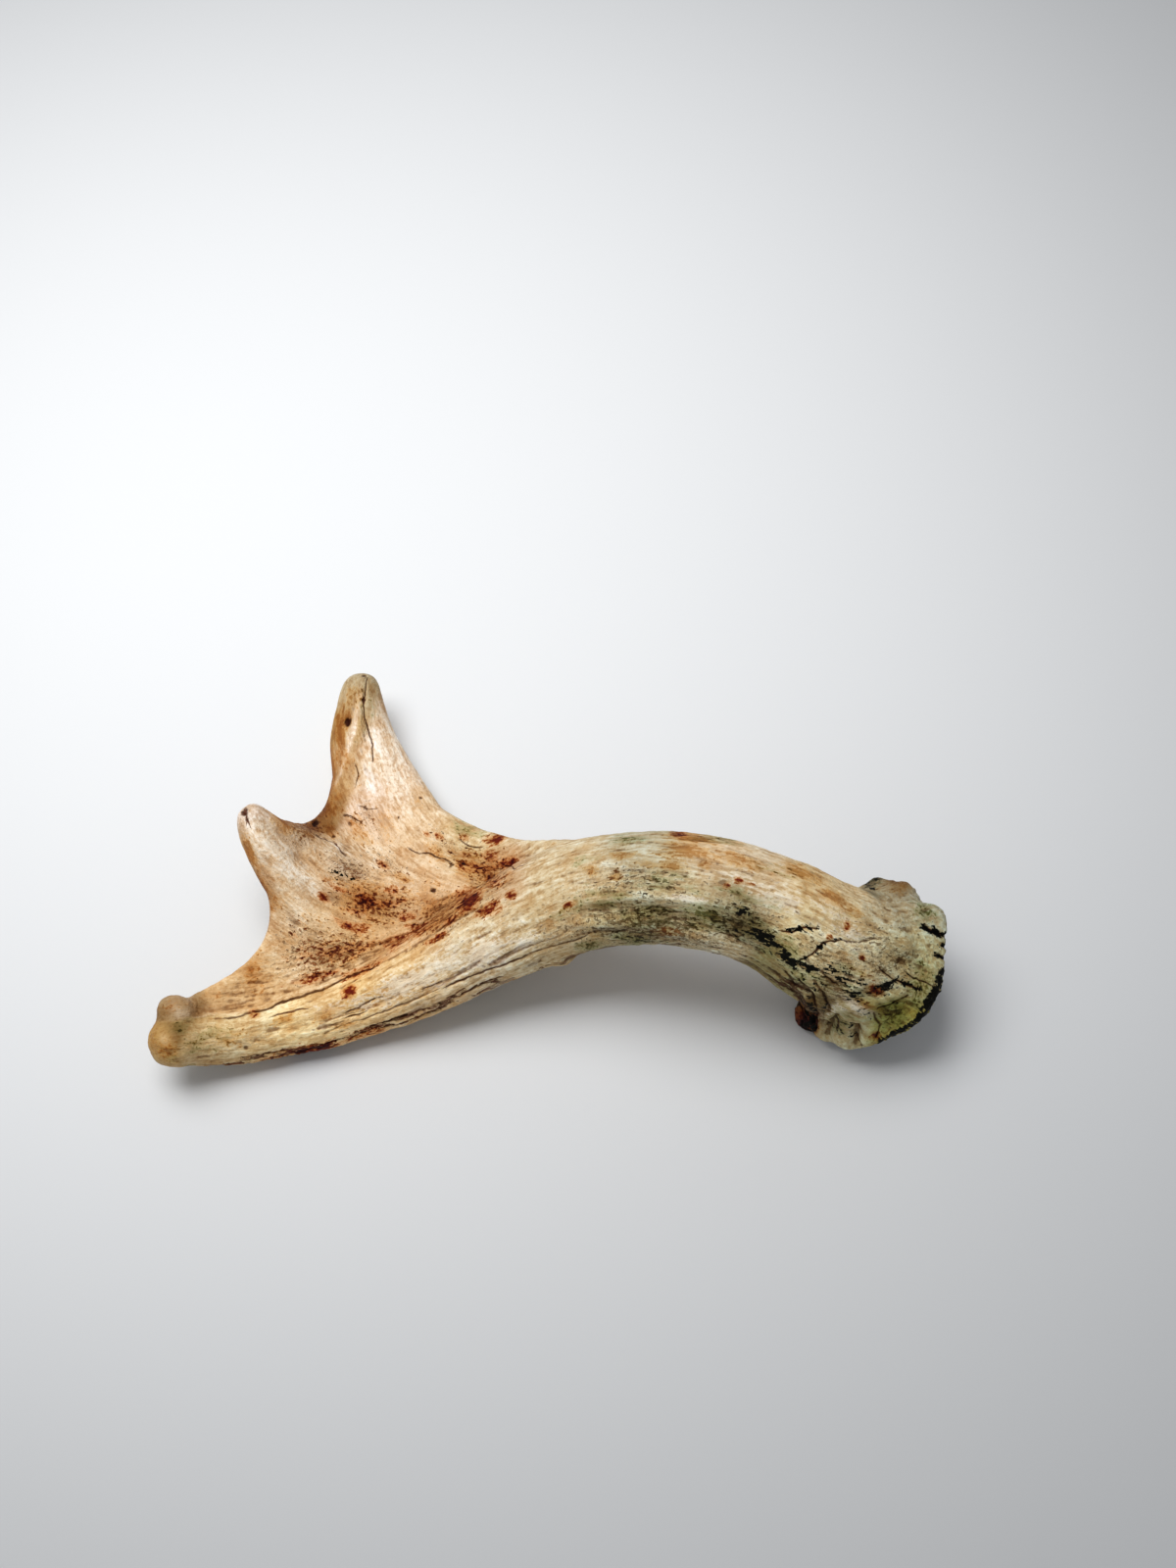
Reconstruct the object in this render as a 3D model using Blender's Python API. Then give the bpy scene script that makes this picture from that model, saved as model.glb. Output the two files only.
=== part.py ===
"""A shed antler of a young moose, lying on its back on a table.

It stands on three places: a knuckle of the burr (+X), the underside of the lower tine (-X, near
side) and the back of the palm under the upper tine (-X, far side). Between the burr and the palm
the beam arches clear of the table. X runs along the antler, Y away from the viewer and Z up; the
origin is under the middle of the antler, on the table.

The antler grew as one piece. It is divided only at its main forks, by clean cuts.
"""

import math

import bmesh
import bpy
import numpy as np
from mathutils import Euler, Matrix, Vector

MM = 0.001

# Driving dimensions, in millimetres.
BURR_RADIUS = 27.5
SEAL_RADIUS = 21.0
CUT_GAP = 0.3
SLIVER = 0.02
VOXEL = 1.1
SMOOTH_ROUNDS = 26
TRIANGLES = 7600

# Each limb is a row of stations along its core: x, y, z, half its width, half its depth.
BEAM = (
    (107, -22, 25, 23.5, 23.5),
    (98, -23.5, 35, 22.0, 22.0),
    (88, -23, 44.5, 20.3, 20.5),
    (75, -19, 53, 18.8, 19.0),
    (60, -14.5, 57, 18.2, 18.0),
    (44, -10.5, 56.5, 18.4, 17.5),
    (29, -8, 52, 18.8, 17.0),
    (13, -6, 44, 18.8, 16.5),
    (-3, -8, 35.5, 18.2, 16.0),
    (-19, -13, 27.5, 16.6, 15.0),
    (-35, -20, 20.5, 14.3, 13.5),
    (-52, -27, 14.5, 12.2, 12.3),
    (-68, -32.5, 11, 10.6, 10.8),
    (-84, -37.5, 10, 9.6, 10.0),
    (-100, -41.5, 11, 9.2, 9.4),
    (-109, -44, 13.5, 8.7, 9.2),
    (-115, -45.5, 16, 8.2, 8.8),
)
UPPER_TINE = (
    (-67.8, 88, 19, 7.0, 6.6),
    (-67.8, 81, 16, 9.4, 8.4),
    (-66.8, 71, 12.5, 12.0, 9.4),
    (-63.5, 59, 9.8, 15.0, 9.6),
    (-58.5, 46, 9.5, 17.5, 8.8),
    (-51, 32, 11, 18.0, 7.0),
    (-41, 19, 15, 15.0, 5.0),
    (-28, 7, 21, 11.0, 3.0),
)
MIDDLE_TINE = (
    (-98.2, 21, 45.5, 5.6, 5.2),
    (-95, 16.5, 39.5, 8.6, 6.4),
    (-89.5, 11, 31.5, 11.5, 6.4),
    (-81, 5, 24, 13.0, 5.4),
    (-70, 0, 18.5, 12.0, 4.2),
    (-56, -4, 15, 8.0, 2.5),
)
# The middle tine's far side ends in a crest that runs on into the palm.
CREST = (
    (-97, 21.5, 45, 4.5, 4.5),
    (-91.5, 19, 39, 4.8, 4.6),
    (-83, 16, 30.5, 5.0, 4.4),
    (-73, 13, 23.5, 5.2, 4.0),
    (-61, 9.5, 18.5, 5.4, 3.2),
    (-48, 6, 17, 5.0, 2.2),
)
# The palm's web is stretched from the beam's core to this rim: x, y, z, half its thickness.
RIM = (
    (22, 10, 46, 8.0),
    (12, 14.5, 41, 8.5),
    (0, 18.5, 35, 8.5),
    (-9, 22.5, 29, 8.0),
    (-19, 29, 23, 7.0),
    (-31, 38.5, 17, 6.0),
    (-42.5, 48, 12.5, 5.5),
    (-52, 58, 10.5, 5.5),
    (-63, 62, 10, 5.5),
    (-75, 57, 10, 5.5),
    (-79, 46, 10, 5.2),
    (-83.5, 39.5, 12.5, 4.6),
    (-89, 33, 18, 4.0),
    (-93, 19, 28, 4.0),
    (-94, 6, 29, 4.0),
    (-92.5, -5, 26, 3.8),
    (-95, -12.5, 22.5, 3.6),
    (-101, -19.5, 20, 3.4),
    (-110, -26.5, 20, 3.6),
    (-118, -34, 23, 4.5),
)
WEB_SAG = 4.0
WEB_ROOT = 7.0
WEB_ROWS = 52
WEB_COLUMNS = 17
# Past this share of its width the web rounds off to its lip.
WEB_EDGE = 0.8
WEB_LIP = 0.03
# How far a tine's core lifts the web around it, as a share of the tine's own half width.
LIFT_REACH = 1.5

# The two knobs at the lower tine's end: x, y, z, radius.
KNOBS = (
    (-121, -47.5, 20, 8.8),
    (-121.5, -38.8, 25, 5.6),
)

# The burr is a flared disc that faces away from the beam.
BURR_CENTRE = (106.8, -21.3, 25.0)
BURR_AXIS = (0.66, 0.125, -0.736)
# The side of the burr that the angles of its pearls are counted on.
BURR_FACING = (0, -0.5, 0.866)
# Half of the burr's outline: how far along the axis, and which share of the burr's radius.
BURR_PROFILE = (
    (-20, 0.60),
    (-13, 0.76),
    (-8, 0.86),
    (-4, 0.94),
    (-1, 0.99),
    (1.5, 1.0),
    (3.5, 0.94),
    (4.0, 0.82),
)
SEAL_DOME = 3.5
DOME_TURNS = (10, 35, 60, 80)
# Pearls round the burr's rim: angle from the side towards the far right, radius out, size.
PEARLS = (
    (84, 23.5, (4.5, 5.0, 6.0)),
    (104, 24, (5.0, 5.0, 5.0)),
    (50, 23, (8.0, 9.0, 4.5)),
    (-86, 25, (5.0, 5.0, 6.0)),
    (-106, 25.5, (6.0, 5.5, 7.0)),
    (-124, 28, (6.5, 6.0, 6.5)),
    (-156, 26, (4.5, 5.0, 6.0)),
    (178, 25, (5.0, 5.0, 6.0)),
    (157, 25.5, (4.5, 5.0, 6.0)),
    (133, 25, (5.0, 5.0, 6.0)),
)

# The turn, in degrees about X and Y, that sets all three resting places on the table.
LEAN = (-0.04, 0.25)

# Where the forks are cut: the new piece, a point on the cut, and its direction.
FORKS = (
    ("upper_tine", (-64, 58, 10), (-0.12, 1, 0.1)),
    ("middle_tine", (-90.5, 12.5, 33.5), (-0.5, 0.4, 0.77)),
    ("lower_tine", (-104, -38, 14), (-1, -0.25, 0.2)),
    ("beam", (2, 0, 38), (0.95, -0.1, 0.3)),
)
# Each piece's colour (linear RGB) and how rough it is.
FINISHES = {
    "beam": ((0.52, 0.47, 0.36), 0.6),
    "palm": ((0.60, 0.47, 0.33), 0.6),
    "upper_tine": ((0.64, 0.52, 0.39), 0.55),
    "middle_tine": ((0.62, 0.50, 0.38), 0.55),
    "lower_tine": ((0.50, 0.41, 0.28), 0.5),
}

RING_POINTS = 24
BURR_POINTS = 48
STEPS_BETWEEN = 5
END_TURNS = (80, 60, 40, 20)


def clear_scene():
    for old in list(bpy.data.objects):
        bpy.data.objects.remove(old)


def smooth_rows(rows, steps=STEPS_BETWEEN):
    """The rows with more rows between them, on a Catmull-Rom curve through every number."""
    rows = np.array(rows, float)
    padded = np.vstack([2 * rows[0] - rows[1], rows, 2 * rows[-1] - rows[-2]])
    made = []
    for a, b, c, d in zip(padded, padded[1:], padded[2:], padded[3:]):
        for t in np.arange(steps) / steps:
            made.append(
                0.5 * (2 * b + (c - a) * t + (2 * a - 5 * b + 4 * c - d) * t**2
                       + (3 * b - a - 3 * c + d) * t**3)
            )
    made.append(rows[-1])
    return np.array(made)


def mesh_object(name, bm):
    bmesh.ops.recalc_face_normals(bm, faces=bm.faces)
    mesh = bpy.data.meshes.new(name)
    bm.to_mesh(mesh)
    bm.free()
    made = bpy.data.objects.new(name, mesh)
    bpy.context.scene.collection.objects.link(made)
    return made


def bridge_rings(bm, rings):
    """Joins each ring of vertices to the next with quads, and closes both ends."""
    for ring, after in zip(rings, rings[1:]):
        for i, vertex in enumerate(ring):
            j = (i + 1) % len(ring)
            bm.faces.new((vertex, ring[j], after[j], after[i]))
    bm.faces.new(rings[0])
    bm.faces.new(rings[-1])


def limb(name, stations, face=(0, 0, 1), round_start=False, round_end=False):
    """A limb lofted along its stations, as wide across `face` as they say and as deep along it."""
    rows = smooth_rows(stations)
    core = rows[:, :3]
    along = np.gradient(core, axis=0)
    sizes = rows[:, 3:5]
    if round_start:
        core, along, sizes = rounded_end(core, along, sizes, at_start=True)
    if round_end:
        core, along, sizes = rounded_end(core, along, sizes, at_start=False)
    bm = bmesh.new()
    rings = []
    for centre, direction, (width, depth) in zip(core, along, sizes):
        forward = Vector(direction).normalized()
        side = forward.cross(Vector(face)).normalized()
        outward = side.cross(forward)
        ring = []
        for turn in np.linspace(0, 2 * math.pi, RING_POINTS, endpoint=False):
            offset = side * width * math.cos(turn) + outward * depth * math.sin(turn)
            ring.append(bm.verts.new((Vector(centre) + offset) * MM))
        rings.append(ring)
    bridge_rings(bm, rings)
    return mesh_object(name, bm)


def rounded_end(core, along, sizes, at_start):
    """The rows with a blunt, rounded end added beyond the first or the last one."""
    if not at_start:
        core, along, sizes = core[::-1], -along[::-1], sizes[::-1]
    back = -along[0] / np.linalg.norm(along[0])
    reach = sizes[0].mean()
    turns = np.radians(END_TURNS)
    core = np.vstack([core[0] + back * reach * np.sin(turns)[:, None], core])
    sizes = np.vstack([sizes[0] * np.cos(turns)[:, None], sizes])
    along = np.vstack([np.tile(along[0], (len(turns), 1)), along])
    if not at_start:
        core, along, sizes = core[::-1], -along[::-1], sizes[::-1]
    return core, along, sizes


def web():
    """The palm's plate, from the beam's core to the rim, sagging towards its back."""
    inner = smooth_rows(BEAM)[:, :4]
    inner = resampled(inner[inner[:, 0] < RIM[0][0]], WEB_ROWS)
    outer = resampled(smooth_rows(RIM), WEB_ROWS)
    bm = bmesh.new()
    layers = ([], [])
    for near, far in zip(inner, outer):
        rows = ([], [])
        for t in np.linspace(0, 1, WEB_COLUMNS):
            x, y, z = near[:3] * (1 - t) + far[:3] * t
            z = lifted(x, y, z - WEB_SAG * 4 * t * (1 - t))
            past = max(0.0, (t - WEB_EDGE) / (1 - WEB_EDGE))
            thick = (WEB_ROOT * (1 - t) + far[3] * t) * math.sqrt(1 - (1 - WEB_LIP) * past**2)
            for row, way in zip(rows, (1, -1)):
                row.append(bm.verts.new(Vector((x, y, z + way * thick)) * MM))
        for layer, row in zip(layers, rows):
            layer.append(row)
    for layer in layers:
        for row, after in zip(layer, layer[1:]):
            for i in range(len(row) - 1):
                bm.faces.new((row[i], row[i + 1], after[i + 1], after[i]))
    top, bottom = (outline(layer) for layer in layers)
    for i in range(len(top)):
        j = (i + 1) % len(top)
        bm.faces.new((top[j], top[i], bottom[i], bottom[j]))
    return mesh_object("web", bm)


def outline(layer):
    """The vertices round the edge of a grid, in order."""
    ends = [row[-1] for row in layer[1:-1]]
    starts = [row[0] for row in layer[-2:0:-1]]
    return layer[0] + ends + layer[-1][::-1] + starts


def lifted(x, y, z):
    """The web's height where the tines' cores draw it towards themselves."""
    for stations in (UPPER_TINE, MIDDLE_TINE, CREST):
        rows = smooth_rows(stations)
        away = np.hypot(rows[:, 0] - x, rows[:, 1] - y) / (LIFT_REACH * rows[:, 3])
        nearest = int(np.argmin(away))
        z += (rows[nearest, 2] - z) * math.exp(-away[nearest] ** 2)
    return z


def resampled(rows, count):
    """The rows at `count` places, evenly spaced along their line."""
    steps = np.linalg.norm(np.diff(rows[:, :3], axis=0), axis=1)
    at = np.concatenate([[0], np.cumsum(steps)])
    wanted = np.linspace(0, at[-1], count)
    return np.stack([np.interp(wanted, at, rows[:, k]) for k in range(rows.shape[1])], 1)


def burr_frame():
    """The burr's axis, and the two directions its rim's angles are counted between."""
    axis = Vector(BURR_AXIS).normalized()
    upward = Vector(BURR_FACING).cross(axis).normalized()
    return axis, axis.cross(upward), upward


def burr():
    """The flared disc at the beam's foot with its domed seal."""
    axis, right, upward = burr_frame()
    centre = Vector(BURR_CENTRE)
    profile = [(along, share * BURR_RADIUS) for along, share in BURR_PROFILE]
    for turn in np.radians(DOME_TURNS):
        height = BURR_PROFILE[-1][0] + SEAL_DOME * math.sin(turn)
        profile.append((height, SEAL_RADIUS * math.cos(turn)))
    bm = bmesh.new()
    rings = []
    for along, radius in profile:
        ring = []
        for turn in np.linspace(0, 2 * math.pi, BURR_POINTS, endpoint=False):
            spoke = right * math.cos(turn) + upward * math.sin(turn)
            ring.append(bm.verts.new((centre + axis * along + spoke * radius) * MM))
        rings.append(ring)
    bridge_rings(bm, rings)
    return mesh_object("burr", bm)


def lump(centre, size, turn=Matrix.Identity(3)):
    """A rounded lump with the three half sizes given, in millimetres."""
    bm = bmesh.new()
    bmesh.ops.create_icosphere(bm, subdivisions=3, radius=1)
    shape = (turn @ Matrix.Diagonal(size) * MM).to_4x4()
    bmesh.ops.transform(bm, matrix=Matrix.Translation(Vector(centre) * MM) @ shape, verts=bm.verts)
    return mesh_object("lump", bm)


def pearls():
    """The knuckles round the burr's rim."""
    axis, right, upward = burr_frame()
    made = []
    for degrees, out, size in PEARLS:
        angle = math.radians(degrees)
        spoke = right * math.cos(angle) + upward * math.sin(angle)
        turn = Matrix((spoke, axis.cross(spoke), axis)).transposed()
        made.append(lump(Vector(BURR_CENTRE) + spoke * out, size, turn))
    return made


def knobs():
    return [lump((x, y, z), (radius, radius, radius)) for x, y, z, radius in KNOBS]


def grown_together(pieces):
    """One mesh of all the pieces, with the creases between them filled as grown bone is."""
    bpy.ops.object.select_all(action="DESELECT")
    for piece in pieces:
        piece.select_set(True)
    bpy.context.view_layer.objects.active = pieces[0]
    bpy.ops.object.join()
    whole = pieces[0]
    remesh = whole.modifiers.new("grow", "REMESH")
    remesh.mode = "VOXEL"
    remesh.voxel_size = VOXEL * MM
    soften = whole.modifiers.new("soften", "SMOOTH")
    soften.factor = 0.5
    soften.iterations = SMOOTH_ROUNDS
    whole = baked(whole)
    thin = whole.modifiers.new("thin", "DECIMATE")
    thin.ratio = TRIANGLES / (2 * len(whole.data.polygons))
    return baked(whole)


def baked(obj):
    """The object with its modifiers applied."""
    graph = bpy.context.evaluated_depsgraph_get()
    mesh = bpy.data.meshes.new_from_object(obj.evaluated_get(graph))
    bpy.data.objects.remove(obj)
    made = bpy.data.objects.new("antler", mesh)
    bpy.context.scene.collection.objects.link(made)
    return made


def settled(whole):
    """The move that puts the antler on its resting places, with the origin under its middle."""
    turn = Euler((math.radians(LEAN[0]), math.radians(LEAN[1]), 0)).to_matrix().to_4x4()
    points = np.array([turn @ v.co for v in whole.data.vertices])
    low, high = points.min(axis=0), points.max(axis=0)
    middle = (low + high) / 2
    return Matrix.Translation((-middle[0], -middle[1], -low[2])) @ turn


def beyond(whole, point, normal, keep_beyond):
    """A closed mesh of the part of whole on one side of a cut, half a gap back from it."""
    bm = bmesh.new()
    bm.from_mesh(whole)
    direction = Vector(normal).normalized()
    back = CUT_GAP / 2 if keep_beyond else -CUT_GAP / 2
    found = bmesh.ops.bisect_plane(
        bm,
        geom=bm.verts[:] + bm.edges[:] + bm.faces[:],
        plane_co=(Vector(point) + direction * back) * MM,
        plane_no=direction,
        clear_inner=keep_beyond,
        clear_outer=not keep_beyond,
    )
    rim = [edge for edge in found["geom_cut"] if isinstance(edge, bmesh.types.BMEdge)]
    bmesh.ops.holes_fill(bm, edges=rim)
    bmesh.ops.triangulate(bm, faces=bm.faces)
    bmesh.ops.dissolve_degenerate(bm, edges=bm.edges, dist=SLIVER * MM)
    bmesh.ops.recalc_face_normals(bm, faces=bm.faces)
    made = bpy.data.meshes.new("piece")
    bm.to_mesh(made)
    bm.free()
    return made


def finish(name, mesh, place):
    """One named piece in its place, with its own material."""
    mesh.transform(place)
    mesh.shade_smooth()
    mesh.set_sharp_from_angle(angle=math.radians(50))
    colour, roughness = FINISHES[name]
    material = bpy.data.materials.new(name)
    material.use_nodes = True
    shader = material.node_tree.nodes["Principled BSDF"]
    shader.inputs["Base Color"].default_value = (*colour, 1)
    shader.inputs["Roughness"].default_value = roughness
    shader.inputs["Metallic"].default_value = 0
    mesh.materials.clear()
    mesh.materials.append(material)
    bpy.context.scene.collection.objects.link(bpy.data.objects.new(name, mesh))


def main():
    clear_scene()
    whole = grown_together([
        limb("beam_core", BEAM, round_end=True),
        limb("upper_core", UPPER_TINE, round_start=True),
        limb("middle_core", MIDDLE_TINE, face=(0.7, 0, 0.7), round_start=True),
        limb("crest", CREST, round_start=True),
        web(),
        burr(),
        *pearls(),
        *knobs(),
    ])
    place = settled(whole)
    rest = whole.data.copy()
    bpy.data.objects.remove(whole)
    for name, point, normal in FORKS:
        finish(name, beyond(rest, point, normal, True), place)
        rest = beyond(rest, point, normal, False)
    finish("palm", rest, place)


main()
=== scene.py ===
"""The looks of a young moose's shed antler: dry, weathered bone, lying on a pale table.

The five solids become one skin, so that grain, cracks and stains run on across the forks. The
skin is carved and toned, and then cut again where the solids are cut.

Places are in millimetres from the middle of the antler's footprint: X along it, Y to its far
side, Z up. A mark on the upper side is placed on a drawing plane that leans with that side: its
first number is X, and its second is how far up the plane it lies.
"""

import math

import bmesh
import bpy
import numpy as np
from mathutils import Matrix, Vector


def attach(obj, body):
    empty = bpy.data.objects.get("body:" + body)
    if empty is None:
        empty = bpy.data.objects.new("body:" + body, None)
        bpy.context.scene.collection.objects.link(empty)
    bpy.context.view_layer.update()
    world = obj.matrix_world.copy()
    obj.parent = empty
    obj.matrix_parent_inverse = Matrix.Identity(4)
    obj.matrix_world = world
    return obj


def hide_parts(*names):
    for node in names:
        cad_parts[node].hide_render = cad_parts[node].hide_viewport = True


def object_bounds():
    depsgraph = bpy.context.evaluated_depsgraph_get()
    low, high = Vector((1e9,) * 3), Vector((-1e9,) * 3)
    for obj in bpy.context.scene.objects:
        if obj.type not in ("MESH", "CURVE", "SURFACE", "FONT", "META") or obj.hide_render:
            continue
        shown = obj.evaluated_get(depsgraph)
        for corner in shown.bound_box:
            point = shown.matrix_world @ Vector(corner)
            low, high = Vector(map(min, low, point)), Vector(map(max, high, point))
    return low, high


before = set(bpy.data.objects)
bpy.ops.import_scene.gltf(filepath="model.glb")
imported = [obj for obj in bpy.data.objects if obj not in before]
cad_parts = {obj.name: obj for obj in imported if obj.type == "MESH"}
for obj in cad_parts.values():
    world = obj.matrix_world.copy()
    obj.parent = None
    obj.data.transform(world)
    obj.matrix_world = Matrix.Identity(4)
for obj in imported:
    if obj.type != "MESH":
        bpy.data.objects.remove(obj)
CAD_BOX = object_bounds()

MM = 0.001
FOOT = np.array([*(CAD_BOX[0] + CAD_BOX[1])[:2], 2 * CAD_BOX[0].z]) / 2 / MM

# The skin: how it is made, in millimetres, rounds and shares.
WELD = 0.001
OVERLAP = 0.2
VOXEL = 1.1
ROUNDS = 14
SHRINK, SWELL = 0.5, -0.53
SEED = 7
CUT_GAP = 0.3

# The drawing plane's two directions, and the direction that it faces.
ACROSS = np.array([1, 0, 0])
UPWARD = np.array([0, 0.866, 0.5])
FACING = np.array([0, -0.5, 0.866])

# The lines that the bone grew along, from the burr outwards: x, y, z, half the width.
BEAM_CORE = (
    (112, -42, 18, 26), (104, -42, 28, 24), (98, -43, 35, 22), (88, -42, 44, 20), (75, -38, 52, 19),
    (60, -34, 56, 20), (44, -30, 56, 22), (29, -27, 51, 24), (13, -25, 43, 25), (-3, -27, 35, 25),
    (-19, -32, 27, 25), (-35, -39, 20, 24), (-52, -46, 14, 23), (-68, -52, 11, 19),
    (-84, -57, 10, 13), (-100, -61, 11, 10), (-110, -63.5, 13.5, 9), (-121, -66.5, 19, 9),
)
UPPER_CORE = (
    (-2, -22, 34, 8), (-15, -16, 26, 9), (-28, -9, 20, 11), (-41, 1, 14, 14), (-51, 13, 11, 17),
    (-58.5, 27, 9, 17), (-63.5, 40, 9.5, 15), (-67, 52, 12, 12), (-68, 62, 15.5, 9), (-68, 72, 19, 7),
)
MIDDLE_CORE = (
    (-16, -26, 26, 8), (-30, -26, 20, 9), (-43, -25, 16, 10), (-56, -23, 15, 11), (-70, -19, 18, 12),
    (-81, -14, 24, 12), (-89.5, -8, 31, 10), (-95, -3, 39, 8), (-99, 2, 46, 6),
)
CORES = {"beam_lines": BEAM_CORE, "upper_lines": UPPER_CORE, "middle_lines": MIDDLE_CORE}
CORE_STEP = 1.5
# How strongly the nearest core takes over from the others, and how evenly they share close by.
CORE_PULL, CORE_EVENNESS = 4, 0.05

BURR_CENTRE = np.array([106.8, -40.5, 24.6])
BURR_AXIS = np.array([0.662, 0.125, -0.739])
BURR_RADIUS = 27.5
# Heights along the burr's axis where the grain starts to spread out and where it has, and how
# much it still climbs there.
FLARE, FLARE_CLIMB = (-18, -4), 0.4


# ------------------------------------------------------------------ numbers and noise

dice = np.random.default_rng(SEED)
SHUFFLED = dice.permutation(256)
HEIGHTS = dice.uniform(-1, 1, 256)
TURNED = np.array([[0.36, 0.48, -0.80], [-0.80, 0.60, 0.00], [0.48, 0.64, 0.60]])


def noise(points, cell, layer=0):
    """Smooth noise from -1 to 1 whose lumps are about one cell wide."""
    spread = points @ TURNED / cell + 31.7 * layer
    low = np.floor(spread).astype(np.int64)
    t = spread - low
    t = t * t * (3 - 2 * t)
    total = np.zeros(len(points))
    for i in (0, 1):
        first = SHUFFLED[(low[:, 0] + i) & 255]
        share_x = t[:, 0] if i else 1 - t[:, 0]
        for j in (0, 1):
            second = SHUFFLED[(first + low[:, 1] + j) & 255]
            share_xy = share_x * (t[:, 1] if j else 1 - t[:, 1])
            for k in (0, 1):
                third = HEIGHTS[SHUFFLED[(second + low[:, 2] + k) & 255]]
                total += third * share_xy * (t[:, 2] if k else 1 - t[:, 2])
    return total


def streaks(points, along, width, length, layer=0):
    """Noise drawn out along the grain, with a spread of 1."""
    taps = max(5, 2 * int(length / width / 2) + 1)
    total = np.zeros(len(points))
    for t in np.linspace(-0.5, 0.5, taps):
        total += math.cos(0.9 * math.pi * t) * noise(points + along * (t * length), width, layer)
    return total / total.std()


def rise(values, start, end):
    """0 before start, 1 after end, and a smooth rise between them."""
    t = np.clip((values - start) / (end - start), 0, 1)
    return t * t * (3 - 2 * t)


def bell(gap, half):
    """1 at a mark's middle, falling away over its half width."""
    return np.exp(-((gap / half) ** 2))


def unit(vectors):
    return vectors / np.maximum(np.linalg.norm(vectors, axis=-1, keepdims=True), 1e-9)


def linear(colour):
    """A screen colour, 0 to 255, as linear light."""
    c = np.array(colour) / 255
    return np.where(c <= 0.04045, c / 12.92, ((c + 0.055) / 1.055) ** 2.4)


# ------------------------------------------------------------------ the skin

def joined_solids():
    """A copy of the five solids, each a little swollen so that they meet across the cuts."""
    bm = bmesh.new()
    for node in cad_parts.values():
        part = bmesh.new()
        part.from_mesh(node.data)
        bmesh.ops.remove_doubles(part, verts=part.verts, dist=WELD * MM)
        bmesh.ops.recalc_face_normals(part, faces=part.faces)
        part.normal_update()
        places = [v.co + v.normal * OVERLAP * MM for v in part.verts]
        for v, place in zip(part.verts, places):
            v.co = place
        mesh = bpy.data.meshes.new("part")
        part.to_mesh(mesh)
        part.free()
        bm.from_mesh(mesh)
        bpy.data.meshes.remove(mesh)
    made = bpy.data.meshes.new("skin")
    bm.to_mesh(made)
    bm.free()
    return made


def with_modifiers(mesh, *kinds):
    """The mesh after the modifiers given as (kind, settings)."""
    holder = bpy.data.objects.new("holder", mesh)
    bpy.context.scene.collection.objects.link(holder)
    for kind, settings in kinds:
        modifier = holder.modifiers.new(kind.lower(), kind)
        for name, value in settings.items():
            setattr(modifier, name, value)
    graph = bpy.context.evaluated_depsgraph_get()
    made = bpy.data.meshes.new_from_object(holder.evaluated_get(graph))
    bpy.data.objects.remove(holder)
    bpy.data.meshes.remove(mesh)
    return made


def read(items, field, width=1, kind=np.float32):
    """What all of a mesh's items hold in a field: a row for each, with that many columns."""
    found = np.empty(len(items) * width, kind)
    items.foreach_get(field, found)
    return found.reshape(-1, width).squeeze()


def places_of(mesh):
    return read(mesh.vertices, "co", 3).astype(float) / MM - FOOT


def normals_of(mesh):
    return read(mesh.vertex_normals, "vector", 3).astype(float)


def edges_of(mesh):
    return read(mesh.edges, "vertices", 2, np.int32)


def put_places(mesh, points):
    mesh.vertices.foreach_set("co", ((points + FOOT) * MM).astype(np.float32).ravel())
    mesh.update()


def neighbour_mean(values, edges):
    """At each vertex, the mean of its neighbours' values."""
    a, b = edges.T
    count = np.bincount(np.concatenate([a, b]), minlength=len(values)).astype(float)
    if values.ndim == 1:
        values = values[:, None]
    total = np.stack([
        np.bincount(a, column[b], len(values)) + np.bincount(b, column[a], len(values))
        for column in values.T
    ], 1)
    return (total / np.maximum(count, 1)[:, None]).squeeze()


def bare_skin():
    """One smooth, even mesh over the whole antler."""
    mesh = with_modifiers(
        joined_solids(), ("REMESH", {"mode": "VOXEL", "voxel_size": VOXEL * MM}))
    points, edges = places_of(mesh), edges_of(mesh)
    for _ in range(ROUNDS):
        for share in (SHRINK, SWELL):
            points += share * (neighbour_mean(points, edges) - points)
    put_places(mesh, points)
    return with_modifiers(mesh, ("SUBSURF", {"levels": 1, "render_levels": 1}))


# ------------------------------------------------------------------ how it grew

def core_line(rows):
    """The core's points, its directions and its half widths, at even steps."""
    rows = np.array(rows, float)
    padded = np.vstack([2 * rows[0] - rows[1], rows, 2 * rows[-1] - rows[-2]])
    fine = []
    for a, b, c, d in zip(padded, padded[1:], padded[2:], padded[3:]):
        for t in np.arange(8) / 8:
            fine.append(0.5 * (2 * b + (c - a) * t + (2 * a - 5 * b + 4 * c - d) * t**2
                               + (3 * b - a - 3 * c + d) * t**3))
    fine = np.array(fine + [rows[-1]])
    run = np.concatenate([[0], np.cumsum(np.linalg.norm(np.diff(fine[:, :3], axis=0), axis=1))])
    at = np.arange(0, run[-1], CORE_STEP)
    even = np.stack([np.interp(at, run, fine[:, k]) for k in range(4)], 1)
    return even[:, :3], unit(np.gradient(even[:, :3], axis=0)), even[:, 3], at


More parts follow.
